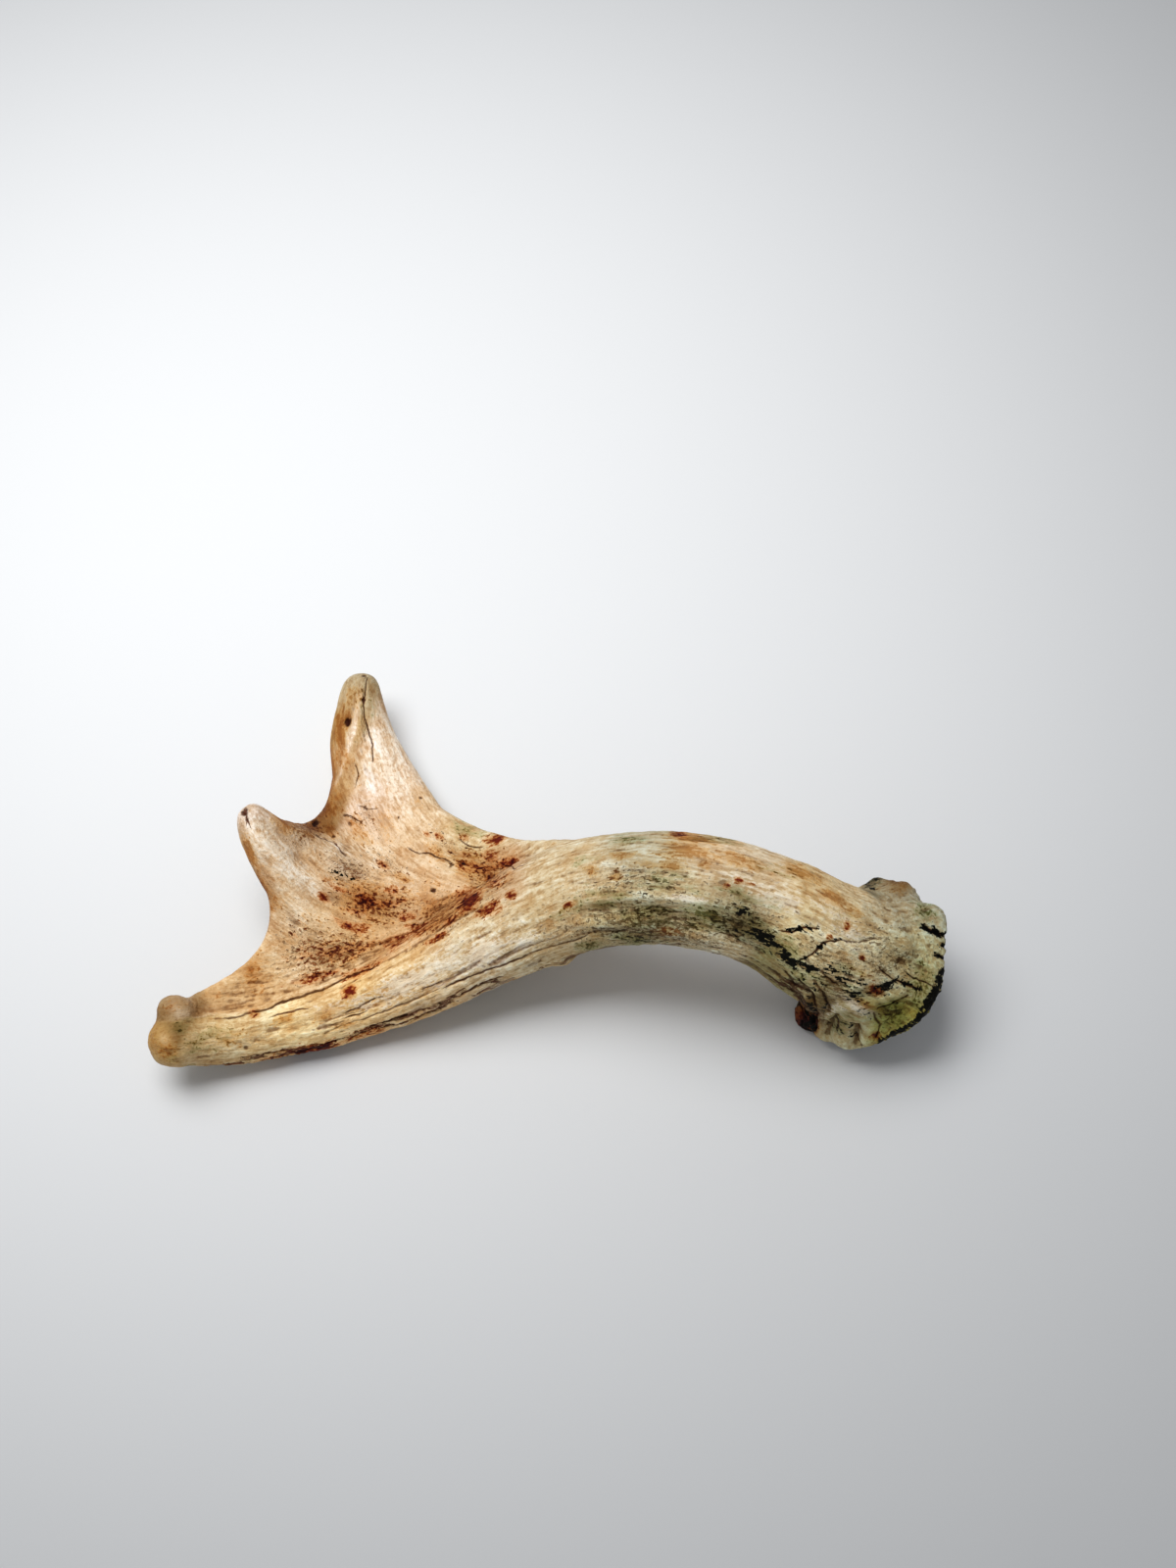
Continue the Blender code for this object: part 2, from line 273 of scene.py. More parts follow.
def beside_core(points, rows):
    """For each point: its direction of growth, its distance in half widths, and its place as if
    the limb were straight (along it, across it and out of it)."""
    core, along, half, run = core_line(rows)
    nearest = np.empty(len(points), np.int64)
    for start in range(0, len(points), 20000):
        part = points[start:start + 20000]
        gaps = (part**2).sum(1)[:, None] - 2 * part @ core.T + (core**2).sum(1)
        nearest[start:start + 20000] = gaps.argmin(1)
    offset = points - core[nearest]
    forward = along[nearest]
    side = unit(np.cross(along, [0, 0, 1]))[nearest]
    outward = np.cross(side, forward)
    ahead = (offset * forward).sum(1)
    straight = np.stack([
        (run[nearest] + ahead), (offset * side).sum(1), (offset * outward).sum(1)], 1)
    away = np.linalg.norm(offset, axis=1) / half[nearest]
    return forward, away, straight


def growth(points, normals):
    """How the bone grew at each point: the direction of its grain, each limb's share and the
    straightened places."""
    found = [beside_core(points, rows) for rows in CORES.values()]
    pull = np.stack([1 / (CORE_EVENNESS + away**CORE_PULL) for _, away, _ in found], 1)
    share = pull / pull.sum(1, keepdims=True)
    along = sum(share[:, [i]] * forward for i, (forward, _, _) in enumerate(found))
    height, _, spoke = in_burr(points)
    flare = rise(height, *FLARE)[:, None]
    along = along * (1 - flare) - (FLARE_CLIMB * BURR_AXIS + spoke) * flare
    along = unit(along - (along * normals).sum(1, keepdims=True) * normals)
    return along, share, [straight for _, _, straight in found]


def in_burr(points):
    """Each point's height along the burr's axis, its radius, and the direction of its spoke."""
    offset = points - BURR_CENTRE
    height = offset @ BURR_AXIS
    out = offset - height[:, None] * BURR_AXIS
    return height, np.linalg.norm(out, axis=1), unit(out)


# ------------------------------------------------------------------ marks on the upper side

# Cracks, grooves and slits: half width, depth, how dark, and the points on the drawing plane.
CARVED = (
    (0.4, 0.45, 0.6, ((-108, -40.3), (-104, -40), (-97, -39), (-90, -37))),
    (0.42, 0.65, 0.78, ((-96, -39), (-88, -36), (-73, -31), (-62, -26), (-56, -23))),
    (0.8, 0.60, 0.20, ((-58, -24), (-49, -20), (-35, -11), (-22, -4))),
    (0.35, 0.25, 0.9, ((-90, -40.5), (-85, -39), (-79, -38))),
    (0.30, 0.35, 0.62, ((-73, -46), (-59, -40.5), (-46, -36), (-36, -31))),
    (0.44, 0.50, 0.85, ((-33, -30), (-27, -28), (-17, -23.5), (-7, -19.5))),
    (0.30, 0.35, 0.68, ((-7, -19.5), (0, -17), (7, -14.5), (13, -12.5))),
    (0.40, 0.60, 0.75, ((-2, -24), (8, -20), (18, -17.5), (25, -16.5), (35, -15.5), (44, -15))),
    (0.26, 0.50, 1.0, ((-65, 73), (-66, 66), (-65.5, 61), (-64, 55), (-62, 50), (-62, 44))),
    (0.20, 0.20, 0.8, ((-68, 42), (-67, 39), (-67.5, 35))),
    (0.26, 0.50, 1.0, ((-79, 17.5), (-74, 15.5), (-69, 12))),
    (0.22, 0.30, 0.9, ((-48, 14), (-44, 12.5), (-40, 12), (-36, 11), (-32, 8.5))),
    (0.20, 0.25, 0.9, ((-31, 17), (-28, 15), (-23, 14.5))),
    (0.20, 0.25, 0.9, ((-15, 9), (-11, 8.5), (-7, 10))),
    (0.22, 0.25, 0.8, ((-70, 25), (-67, 23.5), (-65, 22.5))),
    (0.20, 0.20, 0.8, ((-66, 28), (-63, 27), (-60, 27.5))),
    (0.35, 0.50, 1.0, ((-101, 27), (-99, 25.5), (-97.5, 22.5))),
    (0.35, 0.60, 1.1, ((73, -9.5), (76, -9.7), (79, -9), (84, -8.7))),
    (0.32, 0.50, 1.0, ((79, -18.5), (83, -17), (86, -13.5), (92, -12.5))),
    (0.28, 0.35, 0.55, ((93, -12.5), (98, -13.5), (103, -12.5))),
    (0.65, 1.40, 1.1, ((121.5, -10), (125, -11.7), (131, -14))),
    (0.38, 1.00, 1.1, ((127, -16), (130.5, -17.5))),
    (0.55, 1.40, 1.1, ((125, -18.7), (131, -20.8))),
    (0.28, 0.50, 0.9, ((105, -22), (109, -25.5))),
    (0.40, 0.60, 1.0, ((111, -26), (114.5, -28), (119, -30))),
    (0.30, 0.50, 0.9, ((114, -24), (119, -27), (123, -28.5))),
    (0.38, 0.70, 1.0, ((106, -36), (110, -34.5), (115, -32))),
    (0.45, 0.80, 0.9, ((79, -25), (84, -30), (86, -34))),
    (0.45, 0.80, 1.0, ((86, -36), (88, -40), (87.5, -45))),
    (0.40, 0.70, 0.8, ((84, -26), (88, -31), (90, -35))),
    (0.35, 0.60, 0.7, ((75, -23), (79, -28))),
    (0.35, 0.60, 0.8, ((86, -23), (91, -27))),
    (0.45, 0.90, 0.9, ((93, -40), (94, -43))),
    (0.40, 0.80, 0.8, ((98, -40), (101, -43))),
    (0.45, 0.90, 0.9, ((100, -46), (102, -49))),
    (0.35, 0.70, 0.7, ((104.5, -38), (106.5, -42), (106, -46))),
)
# Belts of short splits: half the belt's width, how many splits, and the belt's points.
SPLIT_BELTS = (
    (1.7, 34, ((-102, -55.5), (-83, -52.5), (-70, -48.5), (-59, -45.3), (-48, -42), (-33, -36.5))),
    (1.3, 10, ((-36, -36), (-20, -29), (-4, -24))),
    (1.5, 5, ((-66, -40), (-52, -34), (-40, -30), (-28, -25))),
    (1.2, 8, ((74, -25), (82, -33), (86, -42))),
)
SPLIT_LENGTHS, SPLIT_HALVES = (2.5, 8.0), (0.20, 0.38)
SPLIT_DEPTH, SPLIT_DARK = 0.4, 0.95


def thrown_splits():
    """Short splits thrown along the belts, each in the form of CARVED."""
    throw = np.random.default_rng(SEED + 50)
    made = []
    for spread, count, line in SPLIT_BELTS:
        line = np.array(line, float)
        for _ in range(count):
            leg = throw.integers(len(line) - 1)
            step = unit(line[leg + 1] - line[leg])
            start = line[leg] + (line[leg + 1] - line[leg]) * throw.uniform(-0.1, 0.9)
            start = start + np.array([-step[1], step[0]]) * throw.uniform(-spread, spread)
            end = start + step * throw.uniform(*SPLIT_LENGTHS)
            half = throw.uniform(*SPLIT_HALVES)
            made.append((half, SPLIT_DEPTH, SPLIT_DARK, (start, end)))
    return made


# Soft shaping, standing up or, below zero, sunk: half width, height, points.
SHAPED = (
    (1.8, 1.2, ((-97, 27), (-91, 23), (-85, 19.5), (-79, 17), (-72, 14))),
    (2.6, 1.3, ((-98, 21), (-92, 13), (-84, 6), (-74, 1), (-62, -1))),
    (3.4, -0.9, ((-82, 12.5), (-76, 9), (-68, 5.5), (-58, 4))),
    (3.0, 0.9, ((-115, -36), (-108, -35.5))),
    (2.4, -0.7, ((-99, 14), (-95, 6), (-89, -2), (-84, -10))),
    (2.2, 0.9, ((-66, 72), (-67, 60), (-69, 50), (-72, 41), (-75, 33), (-77, 25))),
    (3.5, -1.2, ((-73, 62), (-74, 50), (-77, 40))),
    (2.0, 1.0, ((92, -36), (100, -34), (108, -32), (113, -30.5))),
    (5.0, -1.3, ((112, -38), (112, -44))),
    (3.0, 1.8, ((96.5, -44), (97, -46))),
    (2.6, 1.8, ((103.5, -44), (103.5, -47))),
    (2.0, 1.2, ((99, -39), (101, -38.5))),
    (1.3, -1.6, ((99.5, -42), (100.5, -48))),
    (1.2, -1.4, ((92.5, -38), (91.5, -46))),
    (1.3, 0.8, ((74, -25), (82, -32), (86, -40))),
    (1.3, 0.7, ((79, -24), (86, -31), (90, -39))),
    (3.0, -0.8, ((113, -20), (119, -22))),
    (3.5, 0.8, ((106, -14), (116, -16))),
    (2.2, 1.2, ((14, -1), (28, 0.8), (44, 0.6), (53, -1), (62, -5))),
    (2.6, -1.0, ((12, -5), (20, -3.5), (34, -4), (48, -8), (58, -12), (66, -17))),
    (1.6, 0.7, ((10, -9), (24, -8), (36, -9), (50, -13))),
    (1.6, -0.6, ((10, -12), (24, -11.5), (40, -13))),
    (2.5, -0.6, ((8, 6), (22, 8), (40, 9), (54, 6))),
    (2.0, 0.5, ((20, 12), (34, 14), (50, 14), (64, 10))),
    (1.8, 0.5, ((-8, -15), (8, -12), (22, -12), (40, -12))),
    (2.0, 0.6, ((-100, -43), (-80, -38), (-60, -31), (-42, -22), (-26, -12))),
    (2.5, -0.5, ((-90, -44), (-70, -41), (-50, -34), (-30, -25))),
)
# Pits: place, radius, depth, how dark.
PITS = (
    (-72, 58, 1.7, 1.1, 1.2), (-66, 65.5, 0.9, 0.8, 1), (-66, 74, 0.7, 0.4, 0.9),
    (-81, 23, 1.2, 0.8, 0.9), (-45, 31, 0.7, 0.3, 0.6), (-64, 28, 0.5, 0.3, 0.7),
    (-71, 25, 0.6, 0.3, 0.7), (-69, 22, 0.8, 0.3, 0.6), (-52, 24, 0.5, 0.3, 0.8),
    (-74, 18, 0.7, 0.3, 0.8), (-100, 26.5, 1.5, 1, 1.2), (-98.5, 24, 0.7, 0.5, 0.9),
    (-33, 8, 0.9, 0.3, 0.6), (-39, 0.5, 1, 0.5, 1), (-98, -50, 1, 0.4, 0.7), (46, -2, 0.5, 0.3, 0.9),
    (52, -8, 0.5, 0.3, 0.9), (33, -11, 0.6, 0.3, 0.9),
)
# Small bumps: place, radius, height.
BUMPS = (
    ((118, -16.9, 38.3), 3.0, 1.9),
    ((108, -13.5, 31.5), 3.0, 1.4),
    ((112.5, -15, 35), 1.8, -0.6),
    ((100.5, -12, 27), 4.5, -3.6),
    ((103.5, -13, 29), 1.6, -1.2),
    ((123, -23.5, 41.0), 4.0, -1.8),
    ((6, -46, 30), 4.0, 3.4),
    ((-121, -70, 26), 2.0, 1.0),
    ((84, -62, 40), 4.0, 1.2),
    ((94, -66, 33), 4.0, 1.0),
)
# Stains: place, reach along the grain, reach across it, strength.
RUST = (
    (-75, -2, 2, 1.4, 1.2), (-70, 0, 5, 1.2, 0.8), (-61, -3, 4.5, 2.2, 1.1), (-66, -11.5, 5, 1.8, 1.1),
    (-64, -7, 3.5, 1.3, 1), (-53, 0, 3, 1.5, 0.8), (-52, -4, 3.5, 1.6, 0.9), (-47, -8, 4, 1.4, 0.9),
    (-50, -16, 6, 1.8, 0.9), (-43, -12, 4, 1.7, 1), (-32, -9, 3, 1.5, 1.1), (-25, -2, 5, 3.4, 1.35),
    (-20, -4.5, 5.5, 2.2, 1), (-12, 0, 1.7, 1.2, 1.2), (-18, 4, 3, 1.7, 1), (-14, 9, 3.2, 1.4, 1.1),
    (-20, 11.5, 2.4, 2, 1.2), (-18, 17, 3.2, 1.6, 1.3), (-25, 8, 6, 2.4, 0.8), (-29, 17.5, 1.8, 1.2, 0.9),
    (-38, 18, 1.8, 1, 1), (-42, 18.5, 1.6, 1, 0.9), (-56, 8.5, 2.4, 0.9, 1.1), (-60, -25, 7, 1.3, 0.9),
    (-65, -32, 2.4, 1.8, 1.2), (-96, -39.5, 1.8, 1.2, 1.2), (-78, -52, 9, 2.2, 1.5),
    (-62, -47.5, 8, 1.6, 1), (-90, -54.5, 8, 1.2, 0.9), (7, -2.5, 2, 1, 1.3), (56, 4.5, 1.3, 1.1, 1.2),
    (60, 6, 1.8, 1.2, 1.2), (63, 5, 3, 0.7, 0.8), (104, -29, 3.4, 1.8, 1.2), (106, -45, 2, 1.2, 1),
    (94, -8.5, 1.5, 1.7, 1.3), (88, -12, 1.2, 0.9, 1.1), (99, -18.5, 1.4, 0.9, 1.1), (85, -43, 4, 3, 1.7),
    (-30, 12, 7, 2, 0.6), (-70, -20, 16, 3, 0.5), (42, 20, 3, 1, 1), (-36, -14, 6, 1.2, 0.8),
    (-76, -28, 9, 1.5, 0.7),
)
OCHRE = (
    (-60, -4, 16, 8, 0.85), (-34, -6, 16, 7, 0.85), (-22, 6, 9, 6, 1.05), (-66, -20, 17, 6, 0.65),
    (-49, 4, 5, 1.6, 0.8), (-86, -41, 4, 1.5, 0.9), (-73, -40, 5, 1.7, 0.7), (-66, -43, 4.5, 1.6, 0.65),
    (-55, -36, 3, 1, 0.6), (23, 13, 5, 1.3, 1), (44, 15, 8, 2.6, 1.25), (46, 19, 8, 1.8, 1.15),
    (60, 12, 9, 2.6, 1.05), (32, 11, 4.5, 1.1, 0.9), (39, 10.5, 5, 1.2, 1), (50, 11, 3, 2.2, 1),
    (22, 7, 2, 1.7, 1), (14, 8.5, 2.5, 2, 0.9), (90, 0, 6, 2.4, 0.95), (80, 8, 9, 2.2, 0.85),
    # The ochre in the notch between the upper and middle tines, near x -88 to -76 and up 20 to 27, here
    # and below, is partly painted shade.
    (-74, 31, 1.8, 4, 0.8), (-82, 23, 3.5, 3.5, 1.1), (116, 3.5, 4.5, 3, 1.3), (86, -44, 4, 4, 1.2),
    (38, -10, 4, 1.4, 0.8), (-122, -49, 4, 3, 0.7), (-121, -35, 3, 3, 0.6), (-99, 14, 8, 2.2, 1.15),
    (-95, 2, 9, 2.2, 1), (-75, 54, 14, 2.4, 1.2), (-78, 42, 10, 1.6, 1.3), (-72, 59, 4, 3, 1.3),
    (64, -27, 5, 1, 0.5), (100, -24, 6, 1.5, 0.5), (-38, 12, 6, 3, 0.6), (6, -4, 4, 1, 0.5),
    (-104, -47, 7, 3, 0.6), (-88, 22, 5, 2.5, 1.1), (-82, 21, 5, 4, 1.2), (-78, 27, 4, 5, 1.1),
    (-77, 36, 8, 3, 1), (-75, 45, 8, 3, 1), (-70, 66, 6, 5, 0.7), (-76, 20, 5, 2.5, 0.9),
    (-105, -33, 8, 2, 0.2), (-98, -26, 3, 10, 0.6), (96, -4, 5, 2, 0.7), (102, -34, 8, 1.5, 0.8),
    (-46, 30, 4, 2, 0.6), (-57, 22, 8, 3, 0.6), (-66, 20, 7, 3, 0.7), (-24, 24, 12, 1.5, 0.7),
    (10, 20, 12, 1.2, 0.6),
)
ALGAE = (
    (27, 18, 6, 1.6, 0.6), (22, 1, 5, 1.6, 0.8), (44, -6, 5, 2, 0.6), (14, -16, 5, 2, 0.7),
    (28, -13, 8, 2.5, 0.8), (32, -5, 10, 3, 0.75), (50, -5, 12, 4, 0.85), (62, -8, 8, 5, 1.1),
    (18, -2, 5, 2, 0.9), (34, -3.5, 8, 1.8, 1.05), (48, -8, 7, 2.2, 0.9), (38, 4, 16, 3, 0.45),
    (74, -16, 8, 4, 0.8), (84, -26, 8, 5, 0.6), (96, -24, 12, 6, 0.4), (111, -38, 7, 6, 0.7),
    (119, -28, 5, 8, 0.8), (121, -5, 4, 5, 0.6), (107, 4, 3, 2.5, 0.5), (94, -40, 5, 4, 0.9),
    (60, 2, 12, 3, 0.5), (52, 19, 10, 1.5, 0.6), (-108, -46, 7, 3, 0.45), (-30, 12, 8, 3, 0.35),
    (-28, 20, 8, 3, 0.4), (16, 2, 8, 3, 0.45), (100, -12, 10, 5, 0.25), (-66, 62, 10, 5, 0.25),
    (70, 10, 9, 1.5, 0.45), (-117, -43, 4, 3, 0.4), (-112, -50, 6, 3, 0.5), (-118, -54, 4, 3, 0.4),
    (8, -4, 8, 3, 0.5), (34, 6, 12, 3, 0.5), (12, 12, 8, 3, 0.35),
)
SOOT = (
    (108, 4.5, 3, 1.6, 1.15), (106, 2.5, 2, 1.5, 0.9), (85.5, -44, 2.5, 2, 0.9), (88, -22, 5, 3.5, 0.85),
    (93, -24, 6, 2, 0.7), (62, -10, 6, 3, 0.7), (101, -36, 4, 1.5, 0.6), (96, -44, 3, 2, 0.6),
    (-76, -54, 9, 1.2, 0.6), (48, -14, 9, 1.5, 0.4), (84, -27, 4, 3, 0.75), (-70, 6, 7, 2.2, 0.62),
    (97, -31, 5, 3, 0.6), (107, -30, 6, 4, 0.55), (44, -5, 4, 1.5, 0.3), (30, 2, 6, 2, 0.3),
    (-100, 27, 1.5, 1.5, 0.8),
)
STAINS = {"rust": RUST, "ochre": OCHRE, "algae": ALGAE, "soot": SOOT}
# Black stains that run in bands: half width, strength, points.
SOOT_BANDS = (
    (2.0, 0.85, ((60, -3), (63, -7), (67, -11))),
    (2.4, 1.15, ((66, -10), (70, -14), (75, -18))),
    (1.6, 1.15, ((75, -18), (79, -20), (85, -22))),
    (1.0, 0.75, ((74, -9), (79, -9), (84, -8.7))),
    (1.1, 0.80, ((79, -18.5), (83, -17), (86, -14), (92, -12.5))),
    (1.3, 0.85, ((84, -22), (92, -25), (100, -27))),
    (1.3, 0.95, ((104, -28), (110, -26), (116, -25))),
    (1.3, 0.95, ((83, -31), (86, -37), (87, -46))),
    (1.0, 0.85, ((88, -34), (89, -40))),
    (1.4, 0.7, ((97, -40), (99, -46))),
    (1.5, 1.3, ((121, -10), (125, -11.7), (130, -14))),
    (1.3, 1.25, ((124, -18.7), (127, -19.7), (131, -21))),
    (1.0, 1.2, ((126.5, -15.5), (130, -17.2))),
    (1.2, 0.9, ((111, -25.5), (115, -28), (119, -30))),
)
# The black crust along the burr's near right rim, partly painted shade of the rim's underside.
CRUST = ((127.5, -26), (124.5, -32.5), (121, -40), (116, -45.5), (110, -49))
CRUST_HALF = 3.0

# Where the bone is rubbed smooth: place, reach along and across, strength.
POLISHED = (
    (-121, -47, 9, 9, 1), (-117, -36, 10, 5, 1.1), (-66, 72, 6, 6, 0.25), (-99, 24, 5, 6, 0.2),
)
# Where the bone is split by fine seams along its grain: place, reach along and across, strength.
FISSURED = (
    (-98, -55.5, 20, 2.6, 1.2), (-76, -51.5, 18, 3.6, 1.5), (-60, -46.5, 16, 3.6, 1.5),
    (-44, -42, 16, 3.4, 1.3), (-34, -38.5, 14, 3, 1.2), (-24, -33, 18, 2.5, 1.1), (4, -22, 18, 3, 1.1),
    (30, -17, 22, 2.5, 0.9), (-78, -46, 24, 3, 0.7), (-24, -25, 24, 3, 0.7), (62, -19, 14, 3.5, 0.8),
    (78, -30, 14, 5, 1.2), (86, -38, 8, 5, 1.2), (10, -12, 22, 3, 0.5), (-68, 52, 14, 3, 0.5),
    (88, -22, 14, 5, 0.7), (112, -34, 10, 8, 0.6), (60, 10, 20, 6, 0.35), (88, -4, 16, 6, 0.4),
    (-70, 6, 10, 4, 0.5),
)
# Where the bone is peppered with fine dark pores: place, reach along and across, strength.
SPECKLED = (
    (34, -8, 24, 9, 1.25), (60, -8, 14, 9, 1.15), (30, 5, 22, 7, 0.8), (-72, -20, 18, 7, 1.15),
    (-66, 7, 9, 3.5, 1.1), (88, -20, 14, 10, 0.8), (8, -10, 14, 6, 0.7), (-58, -5, 18, 8, 0.95),
    (-35, 14, 10, 5, 0.6), (105, -20, 12, 12, 0.7), (-64, 24, 8, 4, 0.7), (-34, -6, 16, 8, 0.85),
    (-20, 6, 10, 9, 0.8), (-55, 8, 12, 6, 0.6), (90, -27, 7, 5, 1.2), (112, -20, 8, 6, 0.8),
    (-82, 20, 6, 5, 1),
)
# Where the bone is bleached or rubbed pale: place, reach along and across, strength.
WORN = (
    (-47, -30, 24, 4, 0.8), (-20, -18, 16, 5, 0.7), (-56, 40, 14, 6, 0.6), (-90, 16, 12, 3, 0.7),
    (70, 2, 12, 4, 0.6), (88, -2, 8, 4, 0.5), (44, 0.5, 8, 1.5, 0.8), (-80, 2, 20, 2.5, 0.5),
    (60, 7, 10, 2, 0.6), (92, -36, 3, 5, 0.6), (99, -34.5, 7, 1.6, 1), (94, -10, 9, 4, 0.7),
    (-62, 14, 8, 3, 0.4),
)

# The bone's tone at places on the drawing plane: x, up, reach, screen colour. A few hold painted light or
# shade, as noted above them.
TONES = (
    (-66, 72, 6, (176, 154, 116)), (-74, 55, 5, (184, 144, 84)), (-70, 54, 3, (208, 174, 124)),
    # (-62, 46) is the upper tine's pale tone and partly a painted highlight.
    (-71, 46, 3.5, (202, 164, 112)), (-74, 39, 4, (194, 154, 102)), (-62, 46, 8, (244, 222, 194)),
    (-61, 60, 4, (226, 200, 168)), (-60, 66, 3, (214, 184, 152)), (-62, 54, 3, (238, 212, 182)),
    (-56, 40, 7, (248, 226, 200)), (-57, 28, 8, (230, 200, 170)), (-45, 24, 9, (232, 200, 158)),
    (-28, 20, 8, (214, 184, 136)), (-48, 10, 10, (230, 198, 158)), (-60, -6, 10, (218, 176, 124)),
    (-40, -8, 10, (220, 178, 130)), (-72, -18, 10, (228, 191, 141)), (-84, -12, 9, (236, 204, 160)),
    (-94, -5, 6, (182, 132, 78)), (-96, -27, 9, (220, 178, 124)), (-90, 14, 7, (238, 210, 174)),
    (-98, 24, 4, (214, 186, 156)), (-82, 7, 6, (240, 212, 174)), (-100, 12, 3, (224, 186, 136)),
    (-70, 8, 6, (222, 194, 158)), (-86, 19, 3.5, (240, 216, 184)), (-47, -30, 10, (230, 192, 136)),
    (-73, -38, 6, (186, 128, 54)), (-62, -36, 6, (236, 196, 132)), (-97, -48, 8, (232, 202, 148)),
    # (-117.5, -47) is partly painted shade: a dark ring at the big knob's right.
    (-123, -47.5, 5, (188, 146, 86)), (-117.5, -47, 3, (122, 90, 44)),
    (-123, -48.5, 1.2, (236, 206, 158)), (-120, -44, 2, (138, 104, 54)), (-126, -45, 2.5, (190, 142, 70)),
    # (-120, -33.5) is a painted highlight on the small knob's top.
    (-121, -52, 3, (206, 168, 108)), (-120, -33.5, 1.5, (220, 194, 160)), (-124, -38, 2, (128, 92, 44)),
    (-113, -42, 4, (168, 140, 88)), (-122, -36, 5, (170, 136, 92)), (-112, -38, 3, (232, 206, 166)),
    # (-75, -50) is partly painted light, lightened against the shade on the ridge's downward-facing side.
    (-110, -54, 6, (208, 176, 124)), (-75, -50, 8, (252, 220, 160)), (-66, -43, 6, (244, 206, 148)),
    (-20, -17, 12, (228, 204, 162)), (-13, 7, 6, (206, 168, 126)), (7, 8, 11, (216, 192, 150)),
    (2, -9, 11, (214, 186, 138)), (26, 17, 9, (194, 180, 146)), (60, 12, 11, (232, 208, 170)),
    (40, -6, 10, (204, 190, 148)), (20, -12, 9, (196, 180, 134)), (58, -2, 8, (150, 138, 98)),
    (84, 2, 9, (228, 198, 146)), (96, 0, 5, (226, 196, 146)), (92, -8, 8, (234, 210, 162)),
    (104, -6, 6, (214, 192, 148)), (82, -13, 8, (246, 228, 176)), (104, -16, 9, (240, 224, 178)),
    (116, -18, 8, (204, 194, 144)), (111, -39, 6, (172, 164, 84)), (97, -42, 6, (198, 182, 134)),
    (84, -42, 4, (120, 58, 16)), (87, -37, 3, (128, 106, 60)), (118, -4, 7, (198, 188, 156)),
    (106, 4, 3, (88, 80, 46)), (115, 3.5, 5, (116, 84, 30)), (124, -7, 4, (168, 160, 126)),
    (0, -22, 9, (214, 190, 144)), (50, -14, 8, (226, 208, 166)), (38, 4, 5, (208, 188, 146)),
    # (-84, 22) and (-78, 25) are partly painted shade on the wall of the notch between the tines.
    (72, -22, 7, (158, 144, 92)), (-84, 22, 5, (150, 108, 60)), (-78, 25, 3.5, (136, 96, 50)),
    (-78, 31, 5, (180, 140, 88)), (-69, 66, 5, (198, 172, 130)),
)
# Folds that the tone breaks off at: the line, how hard, and how far the break reaches.
FOLDS = (
    (((-112, -40), (-97, -39), (-88, -36), (-73, -31), (-62, -26), (-49, -20), (-36, -12)), 9, 9),
    (((-66, 70), (-67, 60), (-69, 50), (-72, 41), (-75, 33)), -5, 6),
)
# Half the width over which a fold's tone changes.
FOLD_HALF = 0.7
# The tone of the side that is turned away, and of the patches on it: how wide they are, where
# they start and are full, and how strong.
BACK_TONE = (214, 190, 150)
BACK_TONES = ((224, 202, 166), (190, 164, 122), (170, 160, 116))
BACK_PATCH, BACK_EDGE, BACK_SHARE = 22, (0.0, 0.6), 0.8
# How far the tones' outlines wander, and over what distance.
TONE_WANDER, TONE_CELL = 3, 9


def drawn(points):
    """Each point's place on the drawing plane."""
    return np.stack([points @ ACROSS, points @ UPWARD], 1)


def beside_line(flat, line):
    """For each place: how far it is from a line, how far it lies to the line's left, and how far
    along the line it is, 0 to 1."""
    line = np.array(line, float)
    lengths = np.linalg.norm(np.diff(line, axis=0), axis=1)
    starts = np.concatenate([[0], np.cumsum(lengths)])
    gap, side, at = np.full(len(flat), np.inf), np.zeros(len(flat)), np.zeros(len(flat))
    for a, b, length, start in zip(line, line[1:], lengths, starts):
        step = (b - a) / length
        offset = flat - a
        ahead = np.clip(offset @ step, 0, length)
        away = np.linalg.norm(offset - ahead[:, None] * step, axis=1)
        nearer = away < gap
        gap[nearer] = away[nearer]
        side[nearer] = (offset[:, 1] * step[0] - offset[:, 0] * step[1])[nearer]
        at[nearer] = ((start + ahead) / starts[-1])[nearer]
    return gap, side, at


def line_distance(flat, line):
    """How far each place is from a line on the drawing plane."""
    return beside_line(flat, line)[0]


def stained(flat, grain, marks):
    """The strongest of the marks at each place: x, up, reach along and across, strength."""
    total = np.zeros(len(flat))
    for x, up, length, width, strength in marks:
        offset = flat - (x, up)
        near = np.abs(offset).max(1) < 3 * max(length, width)
        ahead = (offset[near] * grain[near]).sum(1) / length
        aside = (offset[near, 0] * grain[near, 1] - offset[near, 1] * grain[near, 0]) / width
        total[near] = np.maximum(total[near], strength * np.exp(-(ahead**2 + aside**2)))
    return total


def scattered(points, along, normals, count, sizes, layer):
    """Marks thrown at random over the side that is turned away."""
    throw = np.random.default_rng(SEED + layer)
    hidden = np.flatnonzero(normals @ -FACING > 0.1)
    total = np.zeros(len(points))
    for centre in throw.choice(hidden, count):
        length, width, strength = (throw.uniform(*span) for span in sizes)
        offset = points - points[centre]
        near = np.abs(offset).max(1) < 2.5 * length
        ahead = offset[near] @ along[centre]
        aside = (offset[near]**2).sum(1) - ahead**2
        value = strength * np.exp(-(ahead / length)**2 - aside / width**2)
        total[near] = np.maximum(total[near], value)
    return total


# ------------------------------------------------------------------ carving and toning

def shaken(points, cell, reach, layer):
    """A sideways shake for places on the drawing plane, the same for all that are close."""
    return reach * np.stack([noise(points, cell, layer), noise(points, cell, layer + 0.5)], 1)


